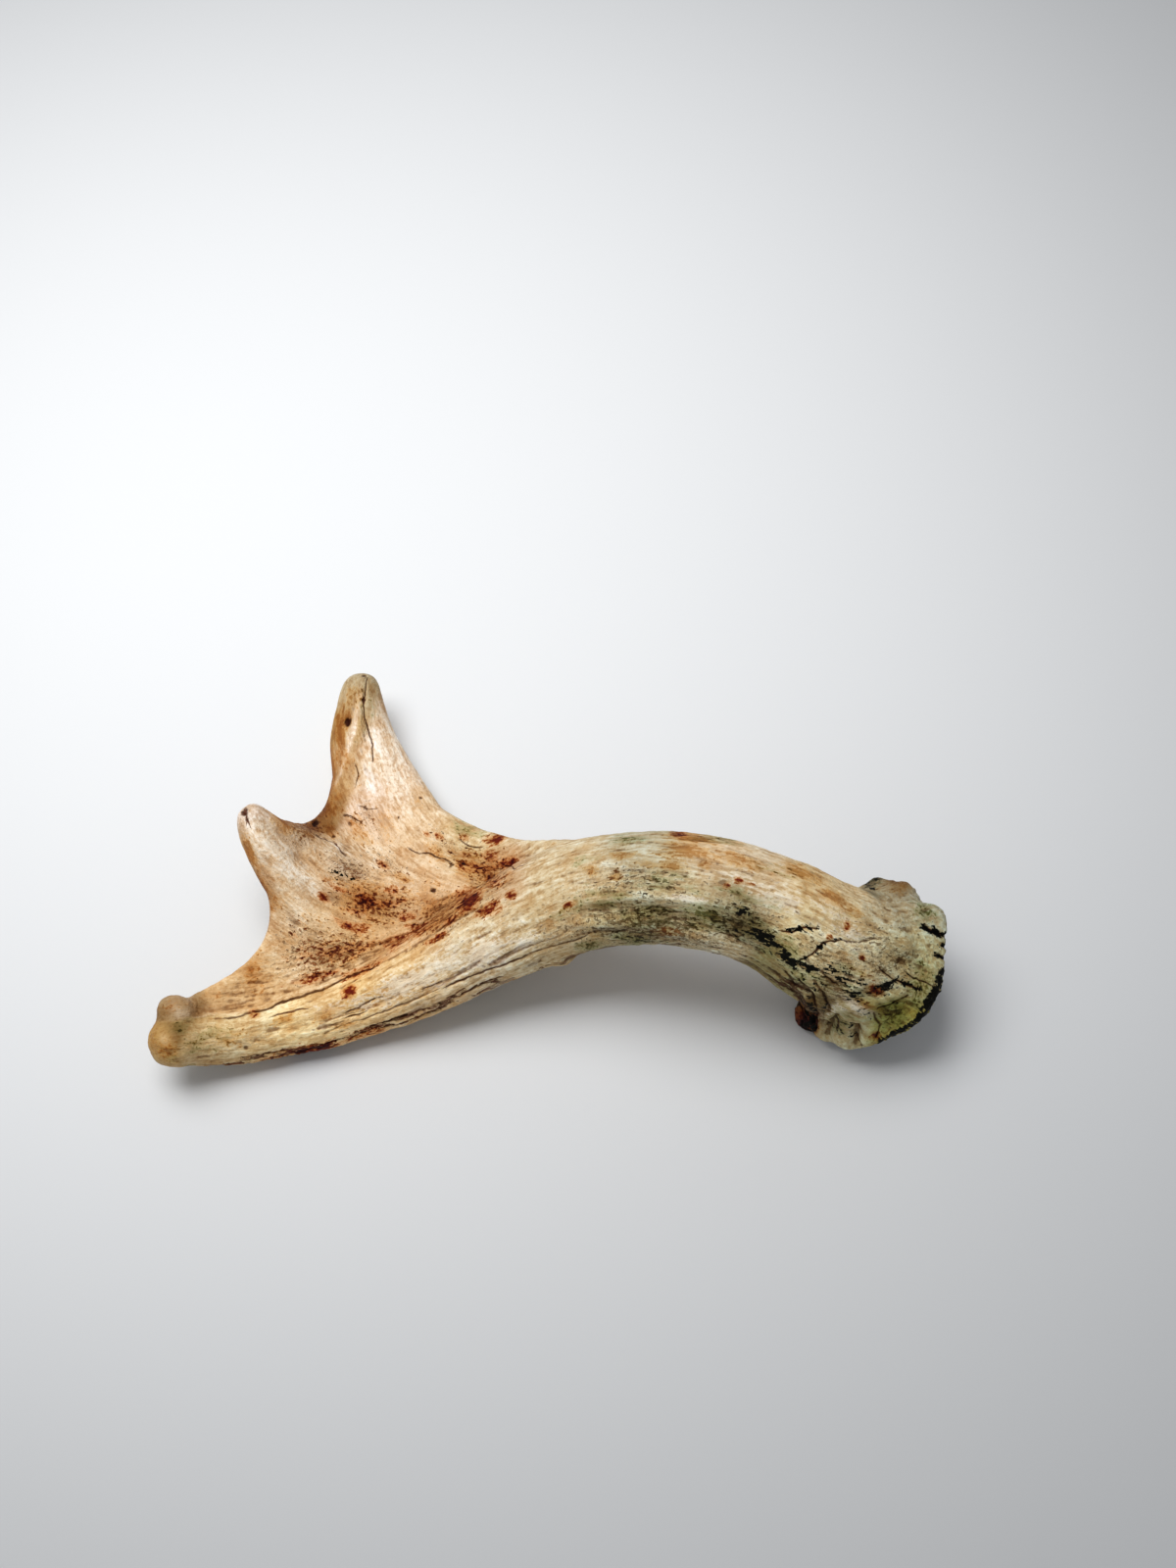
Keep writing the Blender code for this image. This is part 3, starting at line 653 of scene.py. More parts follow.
# How much a place faces the drawing plane where its marks start to show, and where they do fully.
SEEN = (-0.40, -0.05)
# Shakes that roughen the marks' edges: cell, reach and noise layer, and how much of them is used.
SHAKES, SHAKEN = ((4.0, 0.9, 40), (1.3, 0.35, 42)), 0.6
# Seams on the side that is turned away: their strength, and how wide apart and where they gather.
HIDDEN_SEAMS, SEAM_CELL, SEAM_GATHER = 0.5, 16, (0.0, 0.6)
# Where each part starts and is full: the beam by its share, the neck by how far along the beam it
# is, and the rest by height and radius in the burr. No seam is hidden past the plain end.
BEAM_SHARE, NECK_RUN, PLAIN_END = (0.3, 0.8), (-70, -30), (-14, -6)
FLANGE, SEAL, RIM = (-12, -3), (1.5, 3.5), (0.78 * BURR_RADIUS, 0.95 * BURR_RADIUS)


class Skin:
    """The skin's mesh with what is known at each of its vertices."""

    def __init__(self):
        self.mesh = bare_skin()
        self.cracks = [*CARVED, *thrown_splits()]
        self.points = places_of(self.mesh)
        self.edges = edges_of(self.mesh)
        self.normals = normals_of(self.mesh)
        self.along, self.share, self.straight = growth(self.points, self.normals)
        self.flat = drawn(self.points)
        self.grain = unit(np.stack([self.along @ ACROSS, self.along @ UPWARD], 1))
        self.seen = rise(self.normals @ FACING, *SEEN)
        self.burr_height, self.burr_radius, _ = in_burr(self.points)
        self.run = self.straight[0][:, 0]
        self.shaky = self.flat + SHAKEN * sum(shaken(self.points, *shake) for shake in SHAKES)
        self.fissured = stained(self.flat, self.grain, FISSURED) * self.seen
        plain = 1 - rise(self.burr_height, *PLAIN_END)
        gathered = rise(noise(self.points, SEAM_CELL, 44), *SEAM_GATHER) * (1 - self.seen) * plain
        self.fissured = np.maximum(self.fissured, HIDDEN_SEAMS * gathered)
        self.polished = np.clip(stained(self.flat, self.grain, POLISHED), 0, 1)


def region_masks(skin):
    """Where the bone is rough, by part of the antler."""
    beam = rise(skin.share[:, 0], *BEAM_SHARE)
    neck = rise(-skin.run, *NECK_RUN) * beam
    flange = rise(skin.burr_height, *FLANGE)
    rim = rise(skin.burr_radius, *RIM) * flange
    seal = rise(skin.burr_height, *SEAL)
    return beam, neck, flange, rim, seal


# The grain's streaks: their width, their length and the noise's layer.
BROAD, FINE, HAIRS = (1.9, 20, 1), (1.0, 7, 2), (0.65, 4, 3)
BROAD_SHARE, FINE_SHARE = 0.5, 0.45
# How far the grain stands up: everywhere, and how much more on the beam, the neck and the rim.
GRAIN, BEAM_GRAIN, NECK_GRAIN, RIM_GRAIN = 0.03, 0.05, 0.02, 0.02
# How much smoother it is on the seal and on the burr.
SEAL_SMOOTHS, BURR_SMOOTHS = 0.6, 0.75
# How far its finest hairs stand up: everywhere, and how much more on the beam.
HAIR, BEAM_HAIR = 0.015, 0.02
# Seams: how deep, how deep the splits between them, and where in the broad streaks they open.
SEAM_DEPTH, FISSURE_DEPTH, SEAM_OPENS = 0.65, 0.10, (0.5, 1.2)
# A crack's groove: how much wider than its dark line, the least half width, and how uneven.
GROOVE_WIDER, GROOVE_LEAST, GROOVE_UNEVEN = 1.2, 0.5, 0.25
# Soft lumps: how high, how much higher on the beam, how wide, and the noise's layer.
LUMPS = ((0.28, 0, 12, 4), (0.08, 0.14, 5, 5), (0.03, 0.09, 2.2, 15), (0, 0.06, 1.1, 16))
NECK_LUMPS, SEAL_LUMPS, CRUST_RISE, CRUST_EDGE = 0.40, 0.5, 0.5, (-1.3, -0.8)
# The burr's knuckles and the seal's grit: how high, how wide, and the noise's layer.
KNUCKLES = ((1.2, 4.5, 10), (0.5, 2.0, 11))
GRIT = ((0.35, 1.3, 12), (0.25, 0.8, 13))
KNUCKLE_RISE, KNUCKLE_MIDDLE, RIM_GRIT = 0.3, 0.6, 0.2


def carve(skin):
    """Moves the skin in and out, and keeps what the stains need to know of it."""
    p, along = skin.points, skin.along
    beam, neck, flange, rim, seal = region_masks(skin)
    skin.broad, skin.fine, hair = (streaks(p, along, *kind) for kind in (BROAD, FINE, HAIRS))
    seam = skin.fissured * rise(skin.broad, *SEAM_OPENS)
    grooved = GRAIN + BEAM_GRAIN * beam + NECK_GRAIN * neck + RIM_GRAIN * rim
    grooved *= (1 - SEAL_SMOOTHS * seal) * (1 - BURR_SMOOTHS * flange) * (1 - skin.polished)
    height = grooved * (BROAD_SHARE * skin.broad + FINE_SHARE * skin.fine)
    height += (HAIR + BEAM_HAIR * beam) * hair
    height -= SEAM_DEPTH * seam + FISSURE_DEPTH * skin.fissured * skin.fine
    for high, beam_high, wide, layer in LUMPS:
        height += (high + beam_high * beam) * noise(p, wide, layer)
    height += NECK_LUMPS * neck * noise(p, 6, 6) * (1 - flange)
    ragged = 1 - GROOVE_UNEVEN + GROOVE_UNEVEN * noise(p, 1.6, 8)
    for half, depth, _, line in skin.cracks:
        gap = line_distance(skin.shaky, line)
        height -= depth * skin.seen * ragged * bell(gap, max(half * GROOVE_WIDER, GROOVE_LEAST))
    for half, stand, line in SHAPED:
        height += stand * skin.seen * bell(line_distance(skin.flat, line), half)
    for x, up, radius, depth, _ in PITS:
        gap = np.linalg.norm(skin.shaky - (x, up), axis=1)
        height -= depth * skin.seen * bell(gap, radius)
    knuckle = sum(high * np.abs(noise(p, wide, layer)) for high, wide, layer in KNUCKLES)
    grit = sum(high * noise(p, wide, layer) for high, wide, layer in GRIT)
    height += rim * (1 - seal) * (KNUCKLE_MIDDLE - knuckle) * KNUCKLE_RISE
    height += (RIM_GRIT * rim + seal) * grit
    skin.crusted = rise(-line_distance(skin.shaky, CRUST) / CRUST_HALF, *CRUST_EDGE) * skin.seen
    height += CRUST_RISE * skin.crusted * np.abs(noise(p, 1.6, 17))
    height += SEAL_LUMPS * seal * noise(p, 4, 14)
    for centre, radius, stand in BUMPS:
        height += stand * bell(np.linalg.norm(p - centre, axis=1), radius)
    skin.points = p + skin.normals * height[:, None]
    put_places(skin.mesh, skin.points)
    skin.normals = normals_of(skin.mesh)


# Rounds of smoothing that a place is held against, near by and wide, and how much each counts.
NEAR_ROUNDS, WIDE_ROUNDS = 4, 14
NEAR_GAIN, WIDE_GAIN = 9, 2.5


def hollowness(skin):
    """How far each place lies below what is around it, -1 to 1."""
    near = skin.points
    for _ in range(NEAR_ROUNDS):
        near = neighbour_mean(near, skin.edges)
    wide = near
    for _ in range(WIDE_ROUNDS):
        wide = neighbour_mean(wide, skin.edges)
    small = ((near - skin.points) * skin.normals).sum(1)
    large = ((wide - skin.points) * skin.normals).sum(1)
    return np.clip(small * NEAR_GAIN, -1, 1), np.clip(large * WIDE_GAIN, -1, 1)


def base_tone(skin):
    """The bone's own colour, as linear light."""
    total = np.zeros((len(skin.points), 3))
    weight = np.full(len(skin.points), 1e-9)
    wander = np.stack([noise(skin.points, TONE_CELL, layer) for layer in (20, 21)], 1)
    warped = skin.flat + TONE_WANDER * wander
    for line, push, reach in FOLDS:
        gap, side, _ = beside_line(skin.shaky, line)
        pushed = push * np.exp(-gap / reach) * np.clip(side / FOLD_HALF, -1, 1)
        ahead, up = unit(np.subtract(line[-1], line[0]))
        warped += pushed[:, None] * np.array([-up, ahead])
    for x, up, reach, colour in TONES:
        near = np.exp(-(((warped - (x, up)) / reach) ** 2).sum(1)) + 1e-12
        total += near[:, None] * linear(colour)
        weight += near
    front = total / weight[:, None]
    back = np.tile(linear(BACK_TONE), (len(skin.points), 1))
    for layer, colour in enumerate(BACK_TONES):
        patch = rise(noise(skin.points, BACK_PATCH, 30 + layer), *BACK_EDGE)
        share = patch[:, None] * BACK_SHARE
        back = back * (1 - share) + linear(colour) * share
    seen = rise(skin.seen, 0, 1)[:, None]
    return front * seen + back * (1 - seen)


# Stains thrown over the side that is turned away: how many, their length, width and strength.
THROWN = {
    "rust": (60, ((1.5, 6), (0.8, 2.4), (0.6, 1.2))),
    "ochre": (40, ((3, 10), (1.5, 5), (0.4, 0.9))),
    "algae": (26, ((4, 12), (2, 6), (0.3, 0.8))),
    "soot": (30, ((2, 7), (0.8, 1.6), (0.5, 1.0))),
}
# A place with no crack near it, in half widths from one, and how thin a crack's ends are.
FAR, CRACK_TIP = 8.0, 0.35
# How much each part has without any mark on it.
# The seal's and the crust's black is partly painted shade under the burr's rim.
NECK_ALGAE, BURR_ALGAE, SEAL_BLACK_AND_SHADE, CRUST_BLACK_AND_SHADE = 0.45, 0.8, 0.75, 1.02
EVEN_SPECKLE, NECK_SPECKLE, BURR_SPECKLE, HIDDEN_SPECKLE = 0.10, 0.12, 0.05, 0.3
# How much the pores' marks add, and the most there can be.
PLACED_SPECKLE, MOST_SPECKLE = 0.75, 1.2


def stains(skin):
    """Each kind of stain as an amount: the surface shows it where it passes a half."""
    p, flat, grain, seen = skin.points, skin.flat, skin.grain, skin.seen
    _, neck, flange, _, seal = region_masks(skin)
    hidden = 1 - seen
    found = {}
    for layer, (kind, marks) in enumerate(STAINS.items()):
        thrown = scattered(p, skin.along, skin.normals, *THROWN[kind], layer + 1)
        found[kind] = stained(flat, grain, marks) * seen + thrown * hidden
    found["algae"] = np.maximum(found["algae"], hidden * (NECK_ALGAE * neck + BURR_ALGAE * flange))
    # The seal's black is partly painted shade under the burr's rim, and so is the crust's below.
    found["soot"] = np.maximum(found["soot"], SEAL_BLACK_AND_SHADE * seal)
    for half, strength, line in SOOT_BANDS:
        band = strength * bell(line_distance(skin.shaky, line), half) * seen
        found["soot"] = np.maximum(found["soot"], band)
    found["soot"] = np.maximum(found["soot"], CRUST_BLACK_AND_SHADE * skin.crusted)
    nearest, crack, side = np.full(len(p), np.inf), np.zeros(len(p)), np.full(len(p), FAR)
    marks = [
        (half, dark, *beside_line(skin.shaky, line)) for half, _, dark, line in skin.cracks]
    for x, up, radius, _, dark in PITS:
        gap = np.linalg.norm(skin.shaky - (x, up), axis=1)
        marks.append((radius, dark, gap, gap, np.full(len(p), 0.5)))
    for half, dark, gap, off, at in marks:
        bulge = np.sqrt(np.clip(1 - (2 * at - 1) ** 2, 0, 1))
        tapered = half * (CRACK_TIP + (1 - CRACK_TIP) * bulge)
        first = gap / half < nearest
        nearest[first] = (gap / half)[first]
        side[first] = np.clip(off / tapered, -FAR, FAR)[first]
        full, gone = half + 0.3, 1.5 * half + 1.2
        crack[first] = (dark * rise(-gap, -gone, -full) * seen)[first]
    found["crack"], found["crack_side"] = crack, side
    found["fissured"], found["seam"] = skin.fissured, skin.broad
    found["speckle"] = np.clip(
        EVEN_SPECKLE + PLACED_SPECKLE * stained(flat, grain, SPECKLED) * seen
        + NECK_SPECKLE * neck + BURR_SPECKLE * flange + HIDDEN_SPECKLE * hidden,
        0, MOST_SPECKLE)
    found["wear"] = np.clip(stained(flat, grain, WORN) * seen, 0, 1)
    found["polished"] = skin.polished
    return found


# How much the fine and the broad grain show in the streaks.
FINE_STREAKS, BROAD_STREAKS = 0.08, 0.05


def write_fields(skin):
    """Puts what the finish needs on the mesh, where its shader can read it."""
    mesh = skin.mesh

    def keep(name, kind, values, field):
        made = mesh.attributes.new(name, kind, "POINT")
        made.data.foreach_set(field, np.ascontiguousarray(values, np.float32).ravel())

    small, large = hollowness(skin)
    keep("hollow", "FLOAT", small, "value")
    keep("shade", "FLOAT", large, "value")
    streaked = 0.5 + FINE_STREAKS * skin.fine + BROAD_STREAKS * skin.broad
    keep("streak", "FLOAT", np.clip(streaked, 0, 1), "value")
    for name, values in stains(skin).items():
        keep(name, "FLOAT", values, "value")
    tone = base_tone(skin)
    keep("tone", "FLOAT_COLOR", np.hstack([tone, np.ones((len(tone), 1))]), "color")
    for name, straight in zip(CORES, skin.straight):
        keep(name, "FLOAT_VECTOR", straight, "vector")
    keep("shares", "FLOAT_VECTOR", skin.share, "vector")
    keep("skin_normal", "FLOAT_VECTOR", skin.normals, "vector")


# ------------------------------------------------------------------ cutting at the forks

# Faces that lie in one plane, by the cosine between them and by millimetres off it.
SAME_WAY, SAME_PLANE = 0.99999, 0.02
# A face turned further than this from the whole skin's normals, as a cosine, is a cut face.
TURNED_OFF = 0.2


def end_cut(node):
    """The plane half-way across the gap at a piece's cut end: a point on it and its direction
    out of the piece."""
    mesh = node.data
    mesh.calc_loop_triangles()
    corners = read(mesh.loop_triangles, "vertices", 3, np.int32)
    a, b, c = read(mesh.vertices, "co", 3).astype(float)[corners].transpose(1, 0, 2)
    areas = np.cross(b - a, c - a) / 2
    size = np.linalg.norm(areas, axis=1)
    facing = areas / np.maximum(size, 1e-15)[:, None]
    same_way = facing @ facing.T > SAME_WAY
    same_plane = np.abs(a @ facing.T - (a * facing).sum(1)) < SAME_PLANE * MM
    alike = same_way & same_plane
    best = int((alike * size[:, None]).sum(0).argmax())
    flat = alike[:, best]
    direction = unit(areas[flat].sum(0))
    point = np.average((a + b + c)[flat] / 3, axis=0, weights=size[flat])
    return Vector(point + direction * CUT_GAP / 2 * MM), Vector(direction)


def cut_off(mesh, point, direction, keep_beyond):
    """A closed copy of the part of a mesh that lies on one side of a plane."""
    bm = bmesh.new()
    bm.from_mesh(mesh)
    found = bmesh.ops.bisect_plane(
        bm, geom=bm.verts[:] + bm.edges[:] + bm.faces[:], dist=1e-7,
        plane_co=point, plane_no=direction,
        clear_inner=keep_beyond, clear_outer=not keep_beyond)
    rim = [e for e in found["geom_cut"] if isinstance(e, bmesh.types.BMEdge) and e.is_boundary]
    caps = bmesh.ops.holes_fill(bm, edges=rim)["faces"]
    for face in caps:
        face.material_index = 0
    for edge in rim:
        edge.smooth = False
    bmesh.ops.triangulate(bm, faces=caps)
    made = bpy.data.meshes.new("piece")
    bm.to_mesh(made)
    bm.free()
    return made


def keep_normals(mesh):
    """Shades the piece with the whole skin's normals, so that no cut shows."""
    mesh.shade_smooth()
    own = unit(read(mesh.attributes["skin_normal"].data, "vector", 3))
    wanted = own[read(mesh.loops, "vertex_index", kind=np.int32)]
    sides = read(mesh.polygons, "loop_total", kind=np.int32)
    facing = np.repeat(read(mesh.polygons, "normal", 3), sides, axis=0)
    on_cap = (wanted * facing).sum(1) < TURNED_OFF
    wanted[on_cap] = facing[on_cap]
    mesh.normals_split_custom_set(wanted)
    mesh.attributes.remove(mesh.attributes["skin_normal"])


# ------------------------------------------------------------------ shader building

def add(tree, kind, inputs=None, **settings):
    """A node with its settings, and each input set to a value or wired to a socket."""
    made = tree.nodes.new(kind)
    for name, value in settings.items():
        setattr(made, name, value)
    for key, value in (inputs or {}).items():
        if isinstance(value, bpy.types.NodeSocket):
            tree.links.new(value, made.inputs[key])
        else:
            made.inputs[key].default_value = value
    return made


def maths(tree, operation, *values, clamp=False):
    return add(tree, "ShaderNodeMath", dict(enumerate(values)), operation=operation,
               use_clamp=clamp).outputs[0]


def mixed(tree, share, under, over, blend_type="MIX"):
    """Two colours mixed."""
    colours = {6: as_colour(under), 7: as_colour(over)}
    return add(tree, "ShaderNodeMix", {0: share, **colours}, data_type="RGBA",
               blend_type=blend_type, clamp_factor=True).outputs[2]


def as_colour(value):
    if isinstance(value, bpy.types.NodeSocket):
        return value
    return (*linear(value), 1)


def ramp(tree, value, start, end, low=0.0, high=1.0):
    """A smooth rise from low to high as the value goes from start to end."""
    return add(tree, "ShaderNodeMapRange", {0: value, 1: start, 2: end, 3: low, 4: high},
               interpolation_type="SMOOTHSTEP").outputs[0]


def new_group(name, takes, gives):
    """An empty node group with the sockets named: returns it with its input and output nodes."""
    group = bpy.data.node_groups.new(name, "ShaderNodeTree")
    for called, kind, default in takes:
        socket = group.interface.new_socket(called, in_out="INPUT", socket_type=kind)
        if default is not None:
            socket.default_value = default
    for called, kind in gives:
        group.interface.new_socket(called, in_out="OUTPUT", socket_type=kind)
    return group, group.nodes.new("NodeGroupInput").outputs, group.nodes.new("NodeGroupOutput").inputs


def label(name):
    """A field's name as its socket shows it."""
    return name.replace("_", " ").capitalize()


NUMBER, VECTOR, COLOUR = "NodeSocketFloat", "NodeSocketVector", "NodeSocketColor"
GROWTH = (*CORES, "shares")
AMOUNTS = (
    "streak", "hollow", "shade", "rust", "ochre", "algae", "soot", "crack", "crack_side",
    "fissured", "seam", "speckle", "wear", "polished",
)


def lengthwise_noise():
    """Noise drawn out along each limb, and mixed where the limbs grow together."""
    group, takes, gives = new_group(
        "Lengthwise noise",
        [(label(name), VECTOR, None) for name in GROWTH]
        + [("Fineness", NUMBER, 1.0), ("Stretch", NUMBER, 2.0), ("Detail", NUMBER, 2.0),
           ("Roughness", NUMBER, 0.5)],
        [("Value", NUMBER)])
    shares = add(group, "ShaderNodeSeparateXYZ", {0: takes["Shares"]}).outputs
    squeeze = add(group, "ShaderNodeCombineXYZ", {
        0: maths(group, "DIVIDE", 1.0, takes["Stretch"]), 1: 1.0, 2: 1.0}).outputs[0]
    total, spread = 0.0, 0.0
    for limb, share in zip(CORES, shares):
        place = add(group, "ShaderNodeVectorMath", {0: takes[label(limb)], 1: squeeze},
                    operation="MULTIPLY").outputs[0]
        value = add(group, "ShaderNodeTexNoise", {
            "Vector": place, "Scale": takes["Fineness"], "Detail": takes["Detail"],
            "Roughness": takes["Roughness"]}).outputs[0]
        total = maths(group, "MULTIPLY_ADD", maths(group, "SUBTRACT", value, 0.5), share, total)
        spread = maths(group, "MULTIPLY_ADD", share, share, spread)
    even = maths(group, "DIVIDE", total, maths(group, "SQRT", spread))
    group.links.new(maths(group, "ADD", even, 0.5), gives["Value"])
    return group


# A stain's amounts where noise can first bring it out, and where it can do so fully.
BROUGHT_OUT = (0.02, 0.15)


def ragged_stain():
    """A stain's mask: solid where its amount passes a half, with an edge broken up by noise."""
    group, takes, gives = new_group(
        "Ragged stain",
        [("Amount", NUMBER, 0.0), ("Break", NUMBER, 0.5), ("Raggedness", NUMBER, 1.0),
         ("Level", NUMBER, 0.5), ("Softness", NUMBER, 0.1)],
        [("Mask", NUMBER)])
    broken = maths(group, "SUBTRACT", takes["Break"], 0.5)
    amount = maths(group, "MULTIPLY_ADD", broken, takes["Raggedness"], takes["Amount"])
    start = maths(group, "SUBTRACT", takes["Level"], takes["Softness"])
    end = maths(group, "ADD", takes["Level"], takes["Softness"])
    present = ramp(group, takes["Amount"], *BROUGHT_OUT)
    mask = maths(group, "MULTIPLY", ramp(group, amount, start, end), present)
    group.links.new(mask, gives["Mask"])
    return group


# A crack's soft edge in half widths, how strongly noise breaks it up, and where it shows.
LINE_EDGE, LINE_BREAK, LINE_SHOWS = (1.05, 0.40), 4.0, (0.35, 0.75)


def thin_line():
    """A crack's mask: dark where the place beside it is within half its width, and broken up."""
    group, takes, gives = new_group(
        "Thin line",
        [("Side", NUMBER, 8.0), ("Amount", NUMBER, 0.0), ("Break", NUMBER, 0.5),
         ("Wander", NUMBER, 2.4)],
        [("Mask", NUMBER)])
    broken = maths(group, "SUBTRACT", takes["Break"], 0.5)
    side = maths(group, "MULTIPLY_ADD", broken, takes["Wander"], takes["Side"])
    core = ramp(group, maths(group, "ABSOLUTE", side), *LINE_EDGE)
    wide = maths(group, "MULTIPLY", core, takes["Amount"])
    amount = maths(group, "MULTIPLY_ADD", broken, LINE_BREAK, takes["Amount"])
    kept = ramp(group, amount, *LINE_SHOWS)
    group.links.new(maths(group, "MULTIPLY", wide, kept, clamp=True), gives["Mask"])
    return group


# What a pale mark multiplies the bone's colour by: it is over 255, so it lightens.
PALER = (268, 277, 291)
# The soft clouds in the bone's colour, which don't follow the grain.
CLOUD = {"Scale": 110.0, "Detail": 5.0, "Roughness": 0.65}
# Noise that runs with the grain: how fine, how far drawn out, its detail and its roughness.
NOISES = {
    "ragged": (0.24, 2.4, 7.0, 0.72),
    "stipple": (0.95, 1.6, 3.0, 0.62),
    "fibre": (1.2, 8.0, 3.0, 0.62),
    "grit": (1.9, 1.3, 2.0, 0.60),
}
# The bone's own mottling: noise, where it starts and is full, strength, tint, and whether it is
# missing where the bone is rubbed smooth.
MOTTLING = (
    ("cloud", 0.50, 0.64, 0.45, (236, 208, 166), False),
    ("cloud", 0.50, 0.38, 0.60, PALER, True),
    ("strands", 1.04, 1.15, 0.80, PALER, True),
    ("strands", 0.95, 0.84, 0.42, (196, 162, 116), True),
    ("ragged", 0.51, 0.48, 0.12, (222, 202, 168), True),
    ("dotted", 0.46, 0.39, 0.42, (206, 174, 128), False),
    ("dotted", 0.53, 0.60, 0.80, PALER, True),
)
# Stains from pale to deep: which, noise, how ragged, its level and softness, strength, tint.
STAIN_LAYERS = (
    ("ochre", "dotted", 2.4, 0.42, 0.20, 0.75, (232, 200, 148)),
    ("ochre", "dotted", 3.2, 0.84, 0.09, 0.80, (200, 160, 100)),
    ("algae", "ragged", 2.8, 0.36, 0.20, 0.75, (204, 208, 184)),
    ("algae", "dotted", 3.2, 0.72, 0.14, 0.80, (178, 172, 112)),
    ("algae", "dotted", 3.6, 1.00, 0.12, 0.75, (128, 122, 60)),
    ("rust", "ragged", 2.8, 0.34, 0.16, 0.50, (240, 186, 124)),
    ("rust", "dotted", 3.4, 0.62, 0.10, 0.88, (186, 134, 60)),
    ("rust", "dotted", 3.6, 0.92, 0.09, 0.90, (186, 102, 50)),
    ("rust", "dotted", 3.4, 1.14, 0.09, 0.90, (178, 96, 60)),
)
# How much of the stipple is added to the ragged noise, and of both to a seam's streaks.
STIPPLE_SHARE, SEAM_BREAK = 0.9, 2.2
# Where a colour starts and is full: on ridges, in dips, in wide hollows, for the painted glints on
# the grit, and where the pores turn brown and a seam opens and stays whole.
RIDGES, DIPS, BASINS = (-0.10, -0.70), (0.10, 0.85), (0.05, 0.9)
GLINTS, BROWNED, OPENED, WHOLE = (0.54, 0.60), (0.05, 0.35), (1.55, 1.95), (0.42, 0.50)
BLEACHED = (252, 238, 214)
# The dips' colour is dirt and painted shade; the wide hollows' colour is painted shade.
DIP_DIRT_AND_SHADE, BASIN_SHADE = (124, 86, 46), (176, 140, 92)
SPECKS, OLIVE_PORES, BROWN_PORES = (150, 126, 88), (128, 100, 56), (158, 104, 54)
SOOT_BLACK = (10, 9, 3)
SEAM_BROWN, CRACK_BROWN = (118, 60, 34), (112, 58, 34)
# How rough dry bone is, and what the darkened dips, unevenness, soot and rubbing add to that.
DRY, DIRTY, UNEVEN, SOOTY, RUBBED = 0.62, 0.2, 0.5, 0.15, -0.30
GLOSS = 0.10
# How far the fibres rise beside the stipple, and how far pores, cracks and seams do.
FIBRE_RISE, PORE_RISE, CRACK_RISE, SEAM_RISE = 0.6, -0.4, -0.8, -0.5
BUMP_STRENGTH, BUMP_HEIGHT = 0.9, 0.0006


